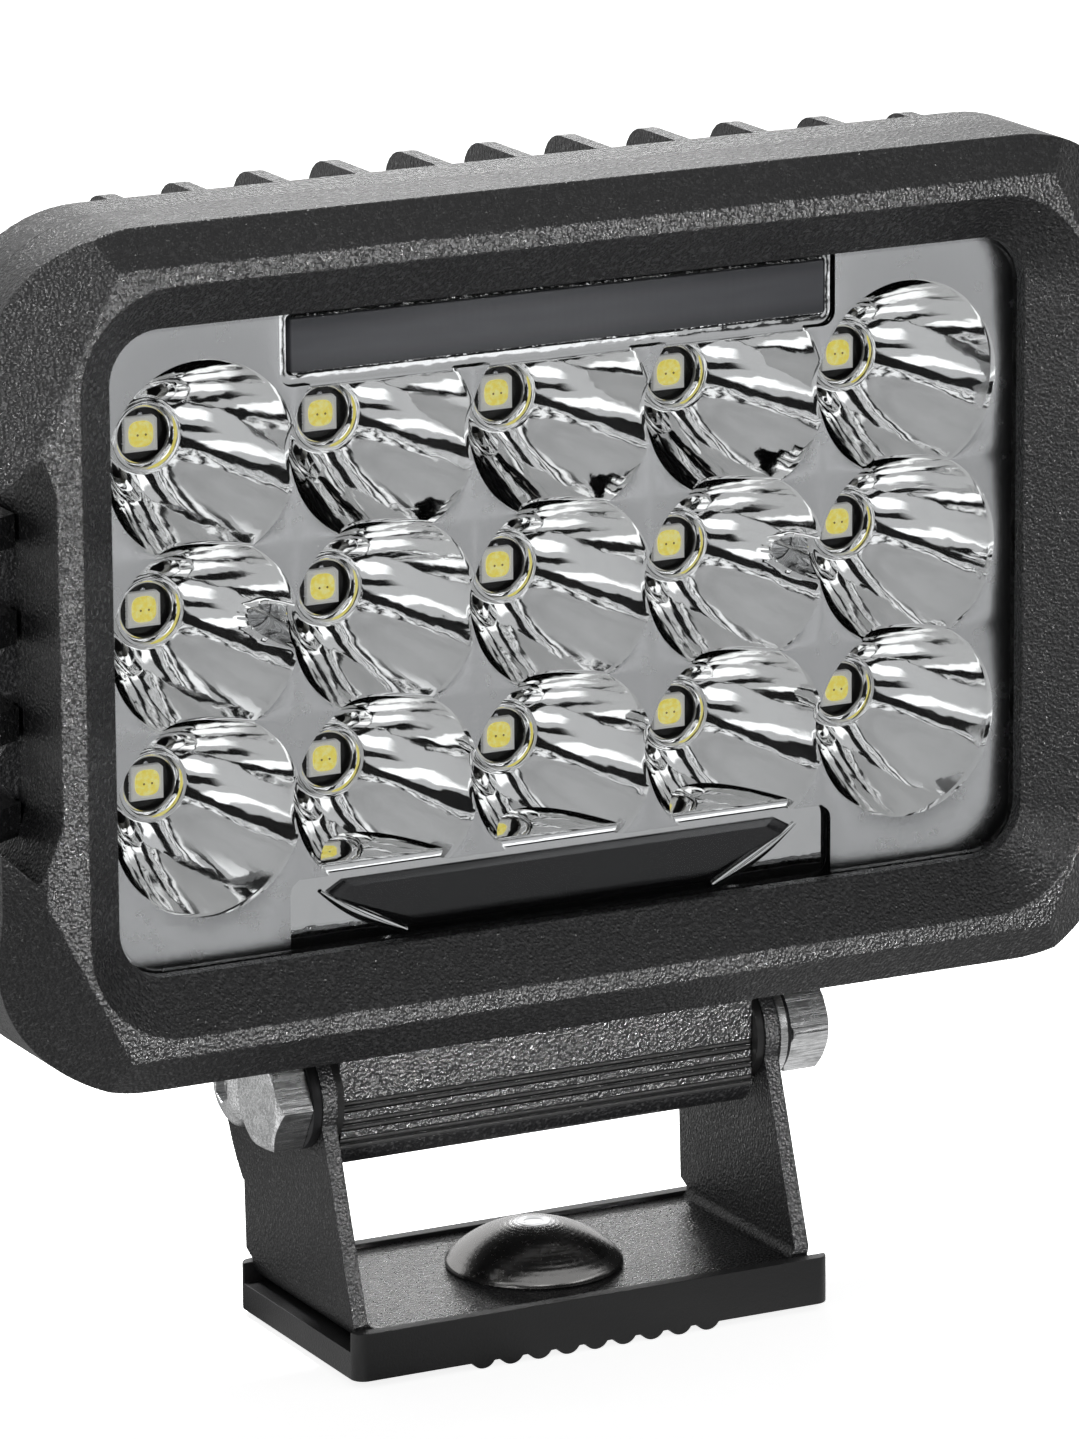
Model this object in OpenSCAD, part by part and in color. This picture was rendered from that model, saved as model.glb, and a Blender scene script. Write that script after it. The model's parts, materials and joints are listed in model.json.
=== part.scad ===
// Rectangular LED fog and driving lamp on a U bracket.
// Origin: middle of the pad's underside. +X to the lamp's right hand end, -Y is
// the way the light shines, +Z up. Millimetres.

/* [Lamp head] */
// Overall width of the head
lamp_w = 180; // [172:1:230]
// Overall height of the head
lamp_h = 121; // [114:1:160]
// Corner radius of the head's outline
corner_r = 21.5; // [16:0.5:26]
// Depth of the front bezel, front plane to parting line
bezel_d = 14.3; // [14:0.1:20]
// Depth of the housing's rim, parting line to the rim's back
rim_d = 8.2; // [6:0.1:14]
// Thickness of the housing's floor behind the circuit board
floor_t = 4.4; // [3:0.1:8]
// Depth of the cooling fins behind the floor, at mid height
fin_d = 16; // [8:0.5:30]
// Thickness of a cooling fin
fin_t = 2.4; // [1.5:0.1:4]
// Distance between neighbouring cooling fins
fin_pitch = 12.5; // [11:0.1:13]

/* [Optics] */
// Number of reflector cups side by side
cup_cols = 5; // [5]
// Number of reflector cups one above the other
cup_rows = 3; // [3]
// Distance between neighbouring cups, along X
pitch_x = 27.6; // [26:0.1:27.6]
// Distance between neighbouring cups, along Z
pitch_z = 25; // [23.5:0.1:25.4]
// Rim radius of a cup
cup_r = 14.4; // [13.9:0.1:15]
// Depth of a cup, rim to light source opening
cup_d = 19; // [14:0.5:26]
// Radius of the light source opening in a cup
cup_hole_r = 4.75; // [4:0.05:5.5]
// Side of a light source's square package
led_side = 4.5; // [3:0.1:5]
// Thickness of the lens flange
lens_t = 2.4; // [2:0.1:3.2]

/* [Tilt joint] */
// Height of the tilt axis above the pad's underside
pivot_z = 37.6; // [34:0.1:60]
// Distance of the tilt axis behind the pad's middle
pivot_y = 0.8; // [-2:0.1:4]
// Drop of the tilt axis below the head's underside
pivot_drop = 10.5; // [9.6:0.1:20]
// Distance of the head's front plane ahead of the tilt axis
head_forward = 22.6; // [20:0.1:26]
// Length of the carrier lug between the bracket's ears
lug_w = 66; // [50:1:80]
// Radius of the pivot bolt's shank
pivot_r = 4; // [3:0.5:5]
// Radius of the locking screws' shanks
lock_r = 3; // [2:0.5:3]
// Distance of the locking screws from the tilt axis
lock_arm = 19.5; // [18:0.1:22]
// Travel of the head towards its face, in degrees
tilt_forward = 34; // [10:1:34]
// Travel of the head towards its back, in degrees
tilt_back = 8; // [4:1:10]

/* [Bracket and pad] */
// Thickness of the bracket's steel
steel_t = 2.3; // [1.5:0.1:3]
// Depth of the pad, front to back
pad_d = 39; // [36:1:60]
// Height of the pad's walls above its underside
pad_h = 8; // [8:0.5:12]
// Radius of the mounting bolt's shank
stud_r = 5; // [4:0.5:6]
// Free length of the mounting bolt below the pad
stud_len = 5; // [4:0.5:40]

/* [Hidden] */

// Clearances: running fit of the pivot, loose fit of a screw in a clearance
// hole, gap between pieces that slide on each other, gap between fixed pieces.
run_gap = 0.05;
screw_gap = 0.3;
slide_gap = 0.1;
seat_gap = 0.05;
// How far a cut runs past the face that it opens
over = 1;

// Head, along Z
head_z = pivot_z + pivot_drop + lamp_h / 2;
// Head, along Y from the front plane backwards
front_y = pivot_y - head_forward;
slope_d = 6.3;
lip_t = 2.2;
gasket_t = 0.6;
seat_y = front_y + slope_d + lip_t;
flange_y = seat_y + gasket_t;
lens_back_y = flange_y + lens_t;
refl_y = lens_back_y + seat_gap;
part_y = front_y + bezel_d;
rim_y = part_y + rim_d;
cup_floor_y = refl_y + cup_d;
refl_base_t = 1.2;
led_top_y = cup_floor_y + refl_base_t + slide_gap;
package_t = 0.8;
board_y = led_top_y + package_t;
board_t = 1.6;
thermal_t = 0.6;
floor_y = board_y + board_t + thermal_t;
back_y = floor_y + floor_t;

// Outlines in the XZ plane, as half sizes from the head's middle
half_w = lamp_w / 2;
half_h = lamp_h / 2;
chamfer_in = 5.3;
chamfer_d = 3.1;
open_w = half_w - 18.7;
open_h = half_h - 15;
open_r = 7.4;
slope_in = 7.1;
lens_w = open_w + 3.2;
lens_h = open_h + 3.2;
lens_r = open_r + 2.6;
recess_gap = 0.5;
cavity_w = open_w + 0.7;
cavity_h = open_h + 2;
wall_t = 4;
body_w = cavity_w + wall_t;
body_h = cavity_h + wall_t;
body_r = 12;
seal_in = 4.2;
seal_w = 2.2;
seal_t = 1.5;
flange_in = 0.9;
flange_t = part_y - refl_y - seat_gap;
window_x = half_w - 7.8;
window_top = 25.5;
window_low = 20.4;
window_tip = 5.6;
rib_t = 4.6;
rib_pitch = 13.5;
rib_mid = -1.6;
fin_reach = 17;
fin_fall = 8.8;

// Screws of the head
m4_r = 2;
m4_head_r = 3.5;
m4_head_t = 2.8;
m3_r = 1.5;
m3_head_r = 2.75;
m3_head_t = 1.8;
corner_screw = [half_w - 11, half_h - 10.5];
edge_screw = [3.5 * fin_pitch, half_h - 4.4];
board_screw = [pitch_x / 2, pitch_z / 2];
refl_screw_x = 1.5 * pitch_x;
refl_screw_seat = cup_floor_y - 3;

// Position light and nameplate plinth
guide_w = 83.4;
guide_h = 7.7;
guide_z = open_h - 5.65;
guide_t = 3.2;
position_board_y = refl_y + guide_t + 2.4;
pod_w = guide_w + 5;
pod_low = guide_z - guide_h / 2 - 2.7;
pod_d = 10;
plinth_w = 87.4;
plinth_top = -open_h + 10.6;
plinth_in = 1.45;
plinth_slope = 1.3;
plate_w = 73.6;
plate_h = 8.2;
plate_t = 1.2;

// Electronics on the circuit board
choke_side = 8;
choke_t = 4.4;
cap_r = 3.1;
cap_t = 5.4;
cap_at = [pitch_x * 2.2, open_h - 4.6];
plug_size = [8, 4.6, 5];
lead_r = 3.25;
gland_at = [0, -open_h + 7.6];
plug_at = [gland_at[0] + 12, gland_at[1] - 1];
gland_r = 7;
gland_shank_r = gland_r - 1;
gland_hex_r = gland_r + 1.6;
gland_boss_r = gland_r + 3;
gland_boss_d = 6;
gland_y = back_y + gland_boss_d;
gland_hex_t = 4;
gland_nut_t = 9;
gland_end_y = gland_y + gland_hex_t + 6;
gland_seal_t = 1.5;
gland_seal_l = 12;
vent_at = [3.5 * fin_pitch, gland_at[1]];
vent_r = 4.2;

// Tilt joint, along X from the middle outwards
washer_t = 1.2;
lug_x = lug_w / 2;
ear_in = lug_x + slide_gap + washer_t;
ear_out = ear_in + steel_t;
head_washer_t = 1.4;
nut_washer_t = 1.2;
nut_lock_t = 0.9;
hex_flat = 13;
bolt_head_t = 5.3;
nut_t = 6.5;
nut_x = ear_out + nut_washer_t + nut_lock_t;
ear_r = pivot_r + 3.6;
lock_angle = -10.6;
lobe_r = lock_r + 3.9;
lug_front = pivot_r + 1.65;
lug_low = pivot_r + 6.3;
lug_back = lock_arm * cos(lock_angle) + lock_r + 3.6;
lock_depth = 12;
lock_head_r = 2 * lock_r;
lock_head_t = 1.1 * lock_r;

// Bracket and pad, along Z
rib_h = 1;
foot_z = 5;
foot_top = foot_z + steel_t;
pad_wall = 2;
pad_side = 1.4;
pad_w = 2 * (ear_out + pad_side);
foot_y = pad_d / 2 - pad_wall - seat_gap;
bend_r = 1.4;
dome_r = 12.85;
dome_rim = 1;
dome_h = 5.5;
stud_gap = 0.3;

fine = 64;
round_fn = 48;

// ---------- shared shapes ----------

// A plane figure in X and Z, made into a slab from y0 to y1
module slab(y0, y1) {
    translate([0, y1, 0]) rotate([90, 0, 0]) linear_extrude(y1 - y0) children();
}

// The same, with the head's middle as the figure's zero
module head_slab(y0, y1) {
    translate([0, 0, head_z]) slab(y0, y1) children();
}

// A plane figure in Y and Z, made into a slab from x0 to x1
module side_slab(x0, x1) {
    translate([x0, 0, 0]) rotate([90, 0, 90]) linear_extrude(x1 - x0) children();
}

// A rectangle with round corners, given by its half sizes
module round_rect(hw, hh, r) {
    square([2 * hw, 2 * (hh - r)], center = true);
    square([2 * (hw - r), 2 * hh], center = true);
    for (sx = [-1, 1], sz = [-1, 1])
        translate([sx * (hw - r), sz * (hh - r)]) circle(r, $fn = fine);
}

// A flat frame: a round rectangle less a smaller one
module round_frame(hw, hh, r, wide) {
    difference() {
        round_rect(hw + wide, hh + wide, r + wide);
        round_rect(hw, hh, r);
    }
}

// A round bar along Y, in head coordinates
module head_bar(at, r, y0, y1, fn = round_fn) {
    translate([at[0], y1, head_z + at[1]]) rotate([90, 0, 0]) cylinder(h = y1 - y0, r = r, $fn = fn);
}

// A round bar along X through the tilt axis, or at an arm and angle from it
module cross_bar(r, x0, x1, arm = 0, angle = 0, fn = round_fn) {
    translate([x0, pivot_y + arm * cos(angle), pivot_z + arm * sin(angle)])
        rotate([0, 90, 0]) cylinder(h = x1 - x0, r = r, $fn = fn);
}

// A flat ring on the tilt axis
module ring(r_out, r_in, x0, x1) {
    difference() {
        cross_bar(r_out, x0, x1);
        cross_bar(r_in, x0 - over, x1 + over);
    }
}

// A hexagon prism on the tilt axis, with a corner pointing forward
module hex_bar(flat, x0, x1) {
    translate([x0, pivot_y, pivot_z]) rotate([0, 90, 0]) rotate([0, 0, 90])
        cylinder(h = x1 - x0, r = flat / 2 / cos(30), $fn = 6);
}

// Places of the light sources and their cups
module each_cup() {
    for (i = [0:cup_cols - 1], j = [0:cup_rows - 1])
        translate([(i - (cup_cols - 1) / 2) * pitch_x, 0, head_z + (j - (cup_rows - 1) / 2) * pitch_z])
            children();
}

function four(p) = [for (sx = [-1, 1], sz = [-1, 1]) [sx * p[0], sz * p[1]]];
bezel_screw_places = concat(four(corner_screw), four(edge_screw));
board_screw_places = four(board_screw);
choke_places = four([refl_screw_x, board_screw[1]]);
refl_screw_places = [[-refl_screw_x, 0], [refl_screw_x, 0]];
cap_places = [[-cap_at[0], cap_at[1]], [cap_at[0], cap_at[1]]];

// ---------- bezel and lens ----------

// Opening that narrows from the front ridge to the lens
module bezel_slope() {
    cx = open_w - open_r;
    cz = open_h - open_r;
    wide_r = open_r + slope_in;
    flank = [[front_y, wide_r], [front_y + slope_d, open_r], [front_y + slope_d, 0], [front_y, 0]];
    translate([0, 0, head_z]) {
        slab(front_y, front_y + slope_d) square([2 * cx, 2 * cz], center = true);
        for (sx = [-1, 1], sz = [-1, 1])
            translate([sx * cx, front_y, sz * cz]) rotate([-90, 0, 0])
                cylinder(h = slope_d, r1 = wide_r, r2 = open_r, $fn = fine);
        for (s = [0, 1]) mirror([0, 0, s])
            side_slab(-cx, cx) polygon([for (p = flank) [p[0], p[1] + cz]]);
        for (s = [0, 1]) mirror([s, 0, 0]) translate([0, 0, -cz])
            linear_extrude(2 * cz) polygon([for (p = flank) [p[1] + cx, p[0]]]);
    }
}

// One flat of the chamfer round the front, its edge at a distance from the middle
module front_chamfer(angle, dist) {
    lean = atan2(chamfer_d, chamfer_in);
    reach = lamp_w;
    translate([0, front_y, head_z]) rotate([0, -angle, 0]) translate([dist, 0, 0])
        rotate([0, 0, lean]) translate([-over, -reach, -reach]) cube([reach, reach, 2 * reach]);
}

module all_chamfers() {
    corner_dir = 27.2;
    corner_dist = (half_w - corner_r) * cos(corner_dir) + (half_h - corner_r) * sin(corner_dir) + corner_r;
    for (a = [0, 180]) front_chamfer(a, half_w - chamfer_in);
    for (a = [90, 270]) front_chamfer(a, half_h - chamfer_in);
    for (a = [corner_dir, 180 - corner_dir, 180 + corner_dir, 360 - corner_dir])
        front_chamfer(a, corner_dist - 2 * chamfer_in);
}

// Side window for the cooling ribs, as a figure in X and Z
module window_figure() {
    tip_x = window_x + 1.9;
    low_tip_x = window_x + 3.4;
    for (s = [0, 1]) mirror([s, 0])
        polygon([[window_x, window_top], [tip_x, window_top + window_tip],
            [half_w + 2, window_top + window_tip - (half_w + 2 - tip_x)],
            [half_w + 2, -window_low - 7.9 + (half_w + 2 - low_tip_x)],
            [low_tip_x, -window_low - 7.9], [window_x, -window_low]]);
}

module front_bezel() {
    hole_d = 8;
    color([0.07, 0.07, 0.075]) difference() {
        head_slab(front_y, part_y) round_rect(half_w, half_h, corner_r);
        all_chamfers();
        bezel_slope();
        head_slab(front_y + slope_d - over / 10, seat_y + over) round_rect(open_w, open_h, open_r);
        head_slab(seat_y, part_y + over)
            round_rect(lens_w + recess_gap, lens_h + recess_gap, lens_r + recess_gap);
        head_slab(front_y - over, part_y + over) window_figure();
        for (p = bezel_screw_places) head_bar(p, m4_r, part_y - hole_d, part_y + over);
    }
}

module lens_gasket() {
    color([0.05, 0.05, 0.05]) head_slab(seat_y, flange_y)
        round_frame(open_w + 0.6, open_h + 0.6, open_r + 0.4, 2.2);
}

module lens() {
    dome_gap = 0.6;
    proud = 1.6;
    color([0.85, 0.9, 0.95, 0.3]) {
        head_slab(flange_y, lens_back_y) round_rect(lens_w, lens_h, lens_r);
        head_slab(seat_y - proud, flange_y + over / 2)
            round_rect(open_w - dome_gap, open_h - dome_gap, open_r - dome_gap);
    }
}

// ---------- optics ----------

// Hollow of one cup: a paraboloid in a few straight steps, with its opening
module cup_hollow() {
    steps = 3;
    square_in = pow(cup_hole_r, 2);
    square_out = pow(cup_r, 2);
    curve = [for (i = [0:steps])
        [sqrt(square_out - (square_out - square_in) * i / steps), i / steps * cup_d]];
    translate([0, refl_y, 0]) rotate([-90, 0, 0]) rotate_extrude($fn = round_fn)
        polygon(concat([[0, -over], [curve[0][0], -over]], curve,
            [[cup_hole_r, cup_d + refl_base_t + over], [0, cup_d + refl_base_t + over]]));
}

module pod_block() {
    translate([-pod_w / 2, refl_y + 0.7, head_z + pod_low])
        cube([pod_w, pod_d, open_h - pod_low + over]);
}

module plinth_block() {
    low = -open_h - over;
    top = plinth_top;
    side_slab(-plinth_w / 2, plinth_w / 2)
        polygon([[refl_y + plinth_in, head_z + low], [refl_y + plinth_in, head_z + top],
            [cup_floor_y, head_z + top + plinth_slope], [cup_floor_y, head_z + low]]);
}

module plinth_recess() {
    translate([-plinth_w / 2, refl_y - over, head_z - lamp_h])
        cube([plinth_w, plinth_in + over, lamp_h + plinth_top]);
}

// Outline of the nameplate, wide at the top and cut back to its lower edge
module plate_figure(grow) {
    border = 2.2;
    corner_in = 2.5;
    corner_down = 1.4;
    foot_in = 12.4;
    top = plinth_top - border;
    low = top - plate_h;
    hw = plate_w / 2 + grow;
    polygon([[-hw + corner_in, top + grow], [hw - corner_in, top + grow], [hw, top - corner_down],
        [hw - foot_in, low - grow], [-hw + foot_in, low - grow], [-hw, top - corner_down]]);
}

module reflector() {
    pocket_gap = 0.6;
    lead_pocket_d = 6;
    base_y = cup_floor_y + refl_base_t;
    color([0.82, 0.82, 0.83]) difference() {
        union() {
            head_slab(refl_y, refl_y + flange_t)
                round_rect(cavity_w + flange_in, cavity_h + flange_in, lens_r);
            head_slab(refl_y + flange_t - seat_gap, base_y)
                round_rect(cavity_w - flange_in, open_h - seat_gap, open_r);
        }
        difference() {
            each_cup() cup_hollow();
            pod_block();
            plinth_block();
        }
        plinth_recess();
        head_slab(refl_y - over, refl_y + pod_d + over)
            translate([0, guide_z]) square([guide_w + 0.2, guide_h + 0.2], center = true);
        head_slab(refl_y, refl_y + plinth_in + plate_t) plate_figure(seat_gap);
        for (p = board_screw_places)
            head_bar(p, m3_head_r + pocket_gap, base_y - m3_head_t - 1, base_y + over);
        for (p = refl_screw_places) {
            head_bar(p, m3_head_r + 0.2, refl_y + flange_t, refl_screw_seat);
            head_bar(p, m3_r + screw_gap, refl_y, base_y + over);
        }
        for (p = choke_places) translate([p[0], base_y - choke_t, head_z + p[1]])
            translate([-choke_side / 2 - pocket_gap, 0, -choke_side / 2 - pocket_gap])
                cube([choke_side + 2 * pocket_gap, choke_t + over, choke_side + 2 * pocket_gap]);
        for (p = cap_places) head_bar(p, cap_r + pocket_gap, base_y - cap_t, base_y + over);
        translate([plug_at[0], base_y - plug_size[2], head_z + plug_at[1]])
            translate([-plug_size[0] / 2 - pocket_gap, 0, -plug_size[1] / 2 - pocket_gap])
                cube([plug_size[0] + 2 * pocket_gap, plug_size[2] + over, plug_size[1] + 2 * pocket_gap]);
        head_bar(gland_at, lead_r, base_y - lead_pocket_d, base_y + over);
    }
}

module nameplate() {
    color([0.05, 0.05, 0.055]) head_slab(refl_y + plinth_in, refl_y + plinth_in + plate_t) plate_figure(0);
}

module position_light_guide() {
    color([0.24, 0.24, 0.25]) head_slab(refl_y + seat_gap, refl_y + seat_gap + guide_t)
        translate([0, guide_z]) square([guide_w, guide_h], center = true);
}

module position_light_board() {
    color([0.1, 0.25, 0.15]) head_slab(position_board_y, position_board_y + board_t / 2)
        translate([0, guide_z]) square([guide_w - 1, guide_h - 0.6], center = true);
}

module position_light_leds() {
    chips = 12;
    chip = [3, 0.9, 2.2];
    step = (guide_w - 8) / (chips - 1);
    color([0.95, 0.93, 0.8]) for (i = [0:chips - 1])
        translate([(i - (chips - 1) / 2) * step - chip[0] / 2, position_board_y - chip[1],
            head_z + guide_z - chip[2] / 2]) cube(chip);
}

// ---------- electronics ----------

module board_holes(y0, y1) {
    for (p = concat(board_screw_places, refl_screw_places)) head_bar(p, m3_r + screw_gap, y0, y1);
    head_bar(gland_at, lead_r + 0.5, y0, y1);
}

module led_board() {
    color([0.06, 0.06, 0.06]) difference() {
        head_slab(board_y, board_y + board_t) round_rect(cavity_w - flange_in, cavity_h - 3, 3);
        board_holes(board_y - over, board_y + board_t + over);
    }
}

module thermal_pad() {
    color([0.6, 0.62, 0.65]) difference() {
        head_slab(floor_y - thermal_t, floor_y) round_rect(cavity_w - flange_in - 1, cavity_h - 4, 3);
        board_holes(floor_y - thermal_t - over, floor_y + over);
    }
}

module led_packages() {
    color([0.75, 0.75, 0.75]) each_cup() translate([-led_side / 2, led_top_y, -led_side / 2])
        cube([led_side, package_t, led_side]);
}

module led_phosphors() {
    side = led_side * 0.73;
    dome = 0.25;
    color([0.95, 0.88, 0.4]) each_cup() slab(led_top_y - dome, led_top_y)
        round_rect(side / 2, side / 2, side / 5);
}

module driver_inductors() {
    color([0.2, 0.2, 0.21]) for (p = choke_places)
        head_slab(board_y - choke_t, board_y) translate(p) round_rect(choke_side / 2, choke_side / 2, 1.4);
}

module driver_capacitors() {
    color([0.7, 0.7, 0.72]) for (p = cap_places) head_bar(p, cap_r, board_y - cap_t, board_y);
}

module board_connector() {
    wall = 0.8;
    floor_d = 1.2;
    mouth = [plug_size[0] - 2 * wall, plug_size[2] - floor_d + over, plug_size[1] - 2 * wall];
    low_x = plug_at[0] - plug_size[0] / 2;
    low_z = head_z + plug_at[1] - plug_size[1] / 2;
    color([0.9, 0.9, 0.88]) translate([low_x, board_y - plug_size[2], low_z]) difference() {
        cube([plug_size[0], plug_size[2], plug_size[1]]);
        translate([wall, -over, wall]) cube(mouth);
    }
}

// A round-headed screw along Y, its head ahead of y and its shank behind
module head_screw(p, r, head_r, head_t, y, length) {
    head_bar(p, head_r, y - head_t, y);
    head_bar(p, r, y - head_t / 2, y + length);
}

module board_screws() {
    color([0.7, 0.7, 0.7]) for (p = board_screw_places)
        head_screw(p, m3_r, m3_head_r, m3_head_t, board_y, back_y - board_y - 1);
}

module reflector_screws() {
    color([0.7, 0.7, 0.7]) for (p = refl_screw_places)
        head_screw(p, m3_r, m3_head_r, m3_head_t, refl_screw_seat, back_y - refl_screw_seat - 1);
}

// ---------- housing ----------

module housing_seal() {
    color([0.05, 0.05, 0.05]) head_slab(part_y, part_y + seal_t)
        round_frame(cavity_w + seal_in, cavity_h + seal_in, body_r, seal_w);
}

// Back edge of a fin at a place along X, at the fin's upper end
function fin_end_y(x) = rim_y + fin_reach - fin_fall * pow(x / (5 * fin_pitch), 2);

// Side view of a fin, from the rim to its bowed back edge
module fin_figure(x) {
    tip_r = 5.5;
    bow = 28;
    top = half_h;
    low = -body_h;
    y_end = fin_end_y(x);
    y_mid = y_end + fin_d;
    y_tip = y_end - tip_r;
    turns = [for (i = [0:6]) 15 * i];
    upper = [for (a = turns) [y_tip + tip_r * sin(a), top - tip_r + tip_r * cos(a)]];
    lower = [for (a = turns) [y_tip + tip_r * cos(a), low + tip_r - tip_r * sin(a)]];
    polygon(concat([[rim_y - 0.5, low], [rim_y - 0.5, top]], upper,
        [[y_mid, top - bow], [y_mid, low + bow]], lower));
}

module fins() {
    for (i = [-5:5])
        translate([0, 0, head_z]) side_slab(i * fin_pitch - fin_t / 2, i * fin_pitch + fin_t / 2)
            fin_figure(i * fin_pitch);
}

// Cooling ribs in the side windows, and the wedges between them
module side_ribs() {
    rib_front = part_y - 5.4;
    rib_slant = 3.2;
    inner = window_x + 0.9;
    outer = half_w - 1.2;
    half_gap = (rib_pitch - rib_t) / 2 + 0.05;
    wedge = 3.4;
    for (s = [0, 1]) mirror([s, 0, 0]) translate([0, 0, head_z + rib_mid]) {
        for (i = [-1.5:1:1.5]) translate([0, 0, i * rib_pitch - rib_t / 2]) linear_extrude(rib_t)
            polygon([[body_w - over, back_y], [body_w - over, rim_y], [inner, rim_y],
                [inner, rib_front + rib_slant], [outer, rib_front], [outer, rim_y + 4],
                [outer - 3, back_y]]);
        for (i = [-1:1]) translate([0, 0, i * rib_pitch]) slab(part_y, rim_y)
            polygon([[inner - over, -half_gap], [inner, -half_gap], [inner + wedge, 0],
                [inner, half_gap], [inner - over, half_gap]]);
    }
}

// Lug under the housing, cored from behind, with the pivot bore's wall
module lug() {
    top = head_z - cavity_h - 1;
    low = pivot_z - lug_low;
    front = pivot_y - lug_front;
    back = pivot_y + lug_back;
    edge_r = 4.5;
    core_w = 13;
    groove_r = 0.36;
    groove_at = [-0.45, -1.35, -3.15, -4.05, -5.75, -6.65];
    difference() {
        side_slab(-lug_x, lug_x) {
            translate([front, low + edge_r]) square([back - front, top - low - edge_r]);
            translate([front + edge_r, low]) square([back - front - 2 * edge_r, edge_r + over]);
            for (y = [front + edge_r, back - edge_r])
                translate([y, low + edge_r]) circle(edge_r, $fn = round_fn);
        }
        for (i = [-1:1]) translate([i * (core_w + 3) - core_w / 2, pivot_y + ear_r, low + 3])
            cube([core_w, lug_back, head_z - body_h - low - 6]);
        for (dz = groove_at) translate([-lug_x - over, front - 0.1, pivot_z + dz]) rotate([0, 90, 0])
            cylinder(h = lug_w + 2 * over, r = groove_r, $fn = 16);
    }
}

module rear_housing() {
    color([0.08, 0.08, 0.085]) difference() {
        union() {
            difference() {
                head_slab(part_y, rim_y) round_rect(half_w, half_h, corner_r);
                head_slab(part_y - over, rim_y + over) window_figure();
            }
            head_slab(rim_y - over, back_y) round_rect(body_w, body_h, body_r);
            fins();
            side_ribs();
            lug();
            head_bar(gland_at, gland_boss_r, back_y - over, back_y + gland_boss_d);
            head_bar(vent_at, vent_r + 1.6, back_y - over, back_y + 1);
        }
        difference() {
            head_slab(front_y, part_y) round_rect(half_w, half_h, corner_r);
            head_slab(front_y - over, part_y + over) window_figure();
        }
        head_slab(part_y - over, floor_y) round_rect(cavity_w, cavity_h, open_r + 0.6);
        head_slab(part_y - over, part_y + seal_t)
            round_frame(cavity_w + seal_in, cavity_h + seal_in, body_r, seal_w);
        cross_bar(pivot_r + run_gap, -lug_x - over, lug_x + over);
        for (s = [0, 1]) mirror([s, 0, 0])
            cross_bar(lock_r + run_gap, lug_x - lock_depth - 1, lug_x + over, lock_arm, lock_angle);
        for (p = bezel_screw_places) head_bar(p, m4_r + screw_gap, part_y - over, rim_y + over);
        for (p = bezel_screw_places) head_bar(p, m4_head_r + screw_gap, rim_y, back_y);
        for (p = board_screw_places) head_bar(p, m3_r + run_gap, floor_y - over, back_y - 0.8);
        for (p = refl_screw_places) head_bar(p, m3_r + run_gap, floor_y - over, back_y - 0.8);
        head_bar(gland_at, gland_shank_r + seat_gap, floor_y - over, gland_y + over);
        head_bar(gland_at, gland_boss_r + 1, gland_y, gland_y + 60);
        head_bar(vent_at, vent_r - 1 + seat_gap, floor_y - over, back_y + 1 + over);
        head_bar(vent_at, vent_r + 0.3, back_y + 1, back_y + 30);
    }
}

module bezel_screws() {
    grip = 7;
    color([0.25, 0.25, 0.26]) for (p = bezel_screw_places) difference() {
        union() {
            head_bar(p, m4_head_r, rim_y, rim_y + m4_head_t);
            head_bar(p, m4_r - run_gap, part_y - grip, rim_y + over);
        }
        head_bar(p, 1.7, rim_y + 1, rim_y + m4_head_t + over, 6);
    }
}

module vent_plug() {
    color([0.1, 0.1, 0.1]) {
        head_bar(vent_at, vent_r, back_y + 1, back_y + 3.4);
        head_bar(vent_at, vent_r - 1, floor_y, back_y + 1 + over / 2);
    }
}

module gland_body() {
    color([0.09, 0.09, 0.09]) difference() {
        union() {
            head_bar(gland_at, gland_shank_r, floor_y, gland_y + over);
            head_bar(gland_at, gland_hex_r, gland_y, gland_y + gland_hex_t, 6);
            head_bar(gland_at, gland_shank_r, gland_y + gland_hex_t - over, gland_end_y);
        }
        head_bar(gland_at, lead_r + gland_seal_t, floor_y - over, gland_end_y + over);
    }
}

module gland_seal() {
    color([0.04, 0.04, 0.04]) difference() {
        head_bar(gland_at, lead_r + gland_seal_t - seat_gap, gland_end_y - gland_seal_l, gland_end_y);
        head_bar(gland_at, lead_r, gland_end_y - gland_seal_l - over, gland_end_y + over);
    }
}

// Cap that presses the seal, with a cone at its back end
module gland_nut() {
    cone_t = 3.5;
    hex_y = gland_y + gland_hex_t + seat_gap;
    cone_y = hex_y + gland_nut_t - cone_t;
    color([0.09, 0.09, 0.09]) difference() {
        union() {
            head_bar(gland_at, gland_hex_r, hex_y, cone_y, 6);
            translate([gland_at[0], cone_y, head_z + gland_at[1]]) rotate([-90, 0, 0])
                cylinder(h = cone_t, r1 = gland_r, r2 = gland_r - 2, $fn = round_fn);
        }
        head_bar(gland_at, gland_shank_r + seat_gap, hex_y - over, gland_end_y + seat_gap);
        head_bar(gland_at, lead_r + 0.2, hex_y - over, cone_y + cone_t + over);
    }
}

// ---------- tilt joint ----------

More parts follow.
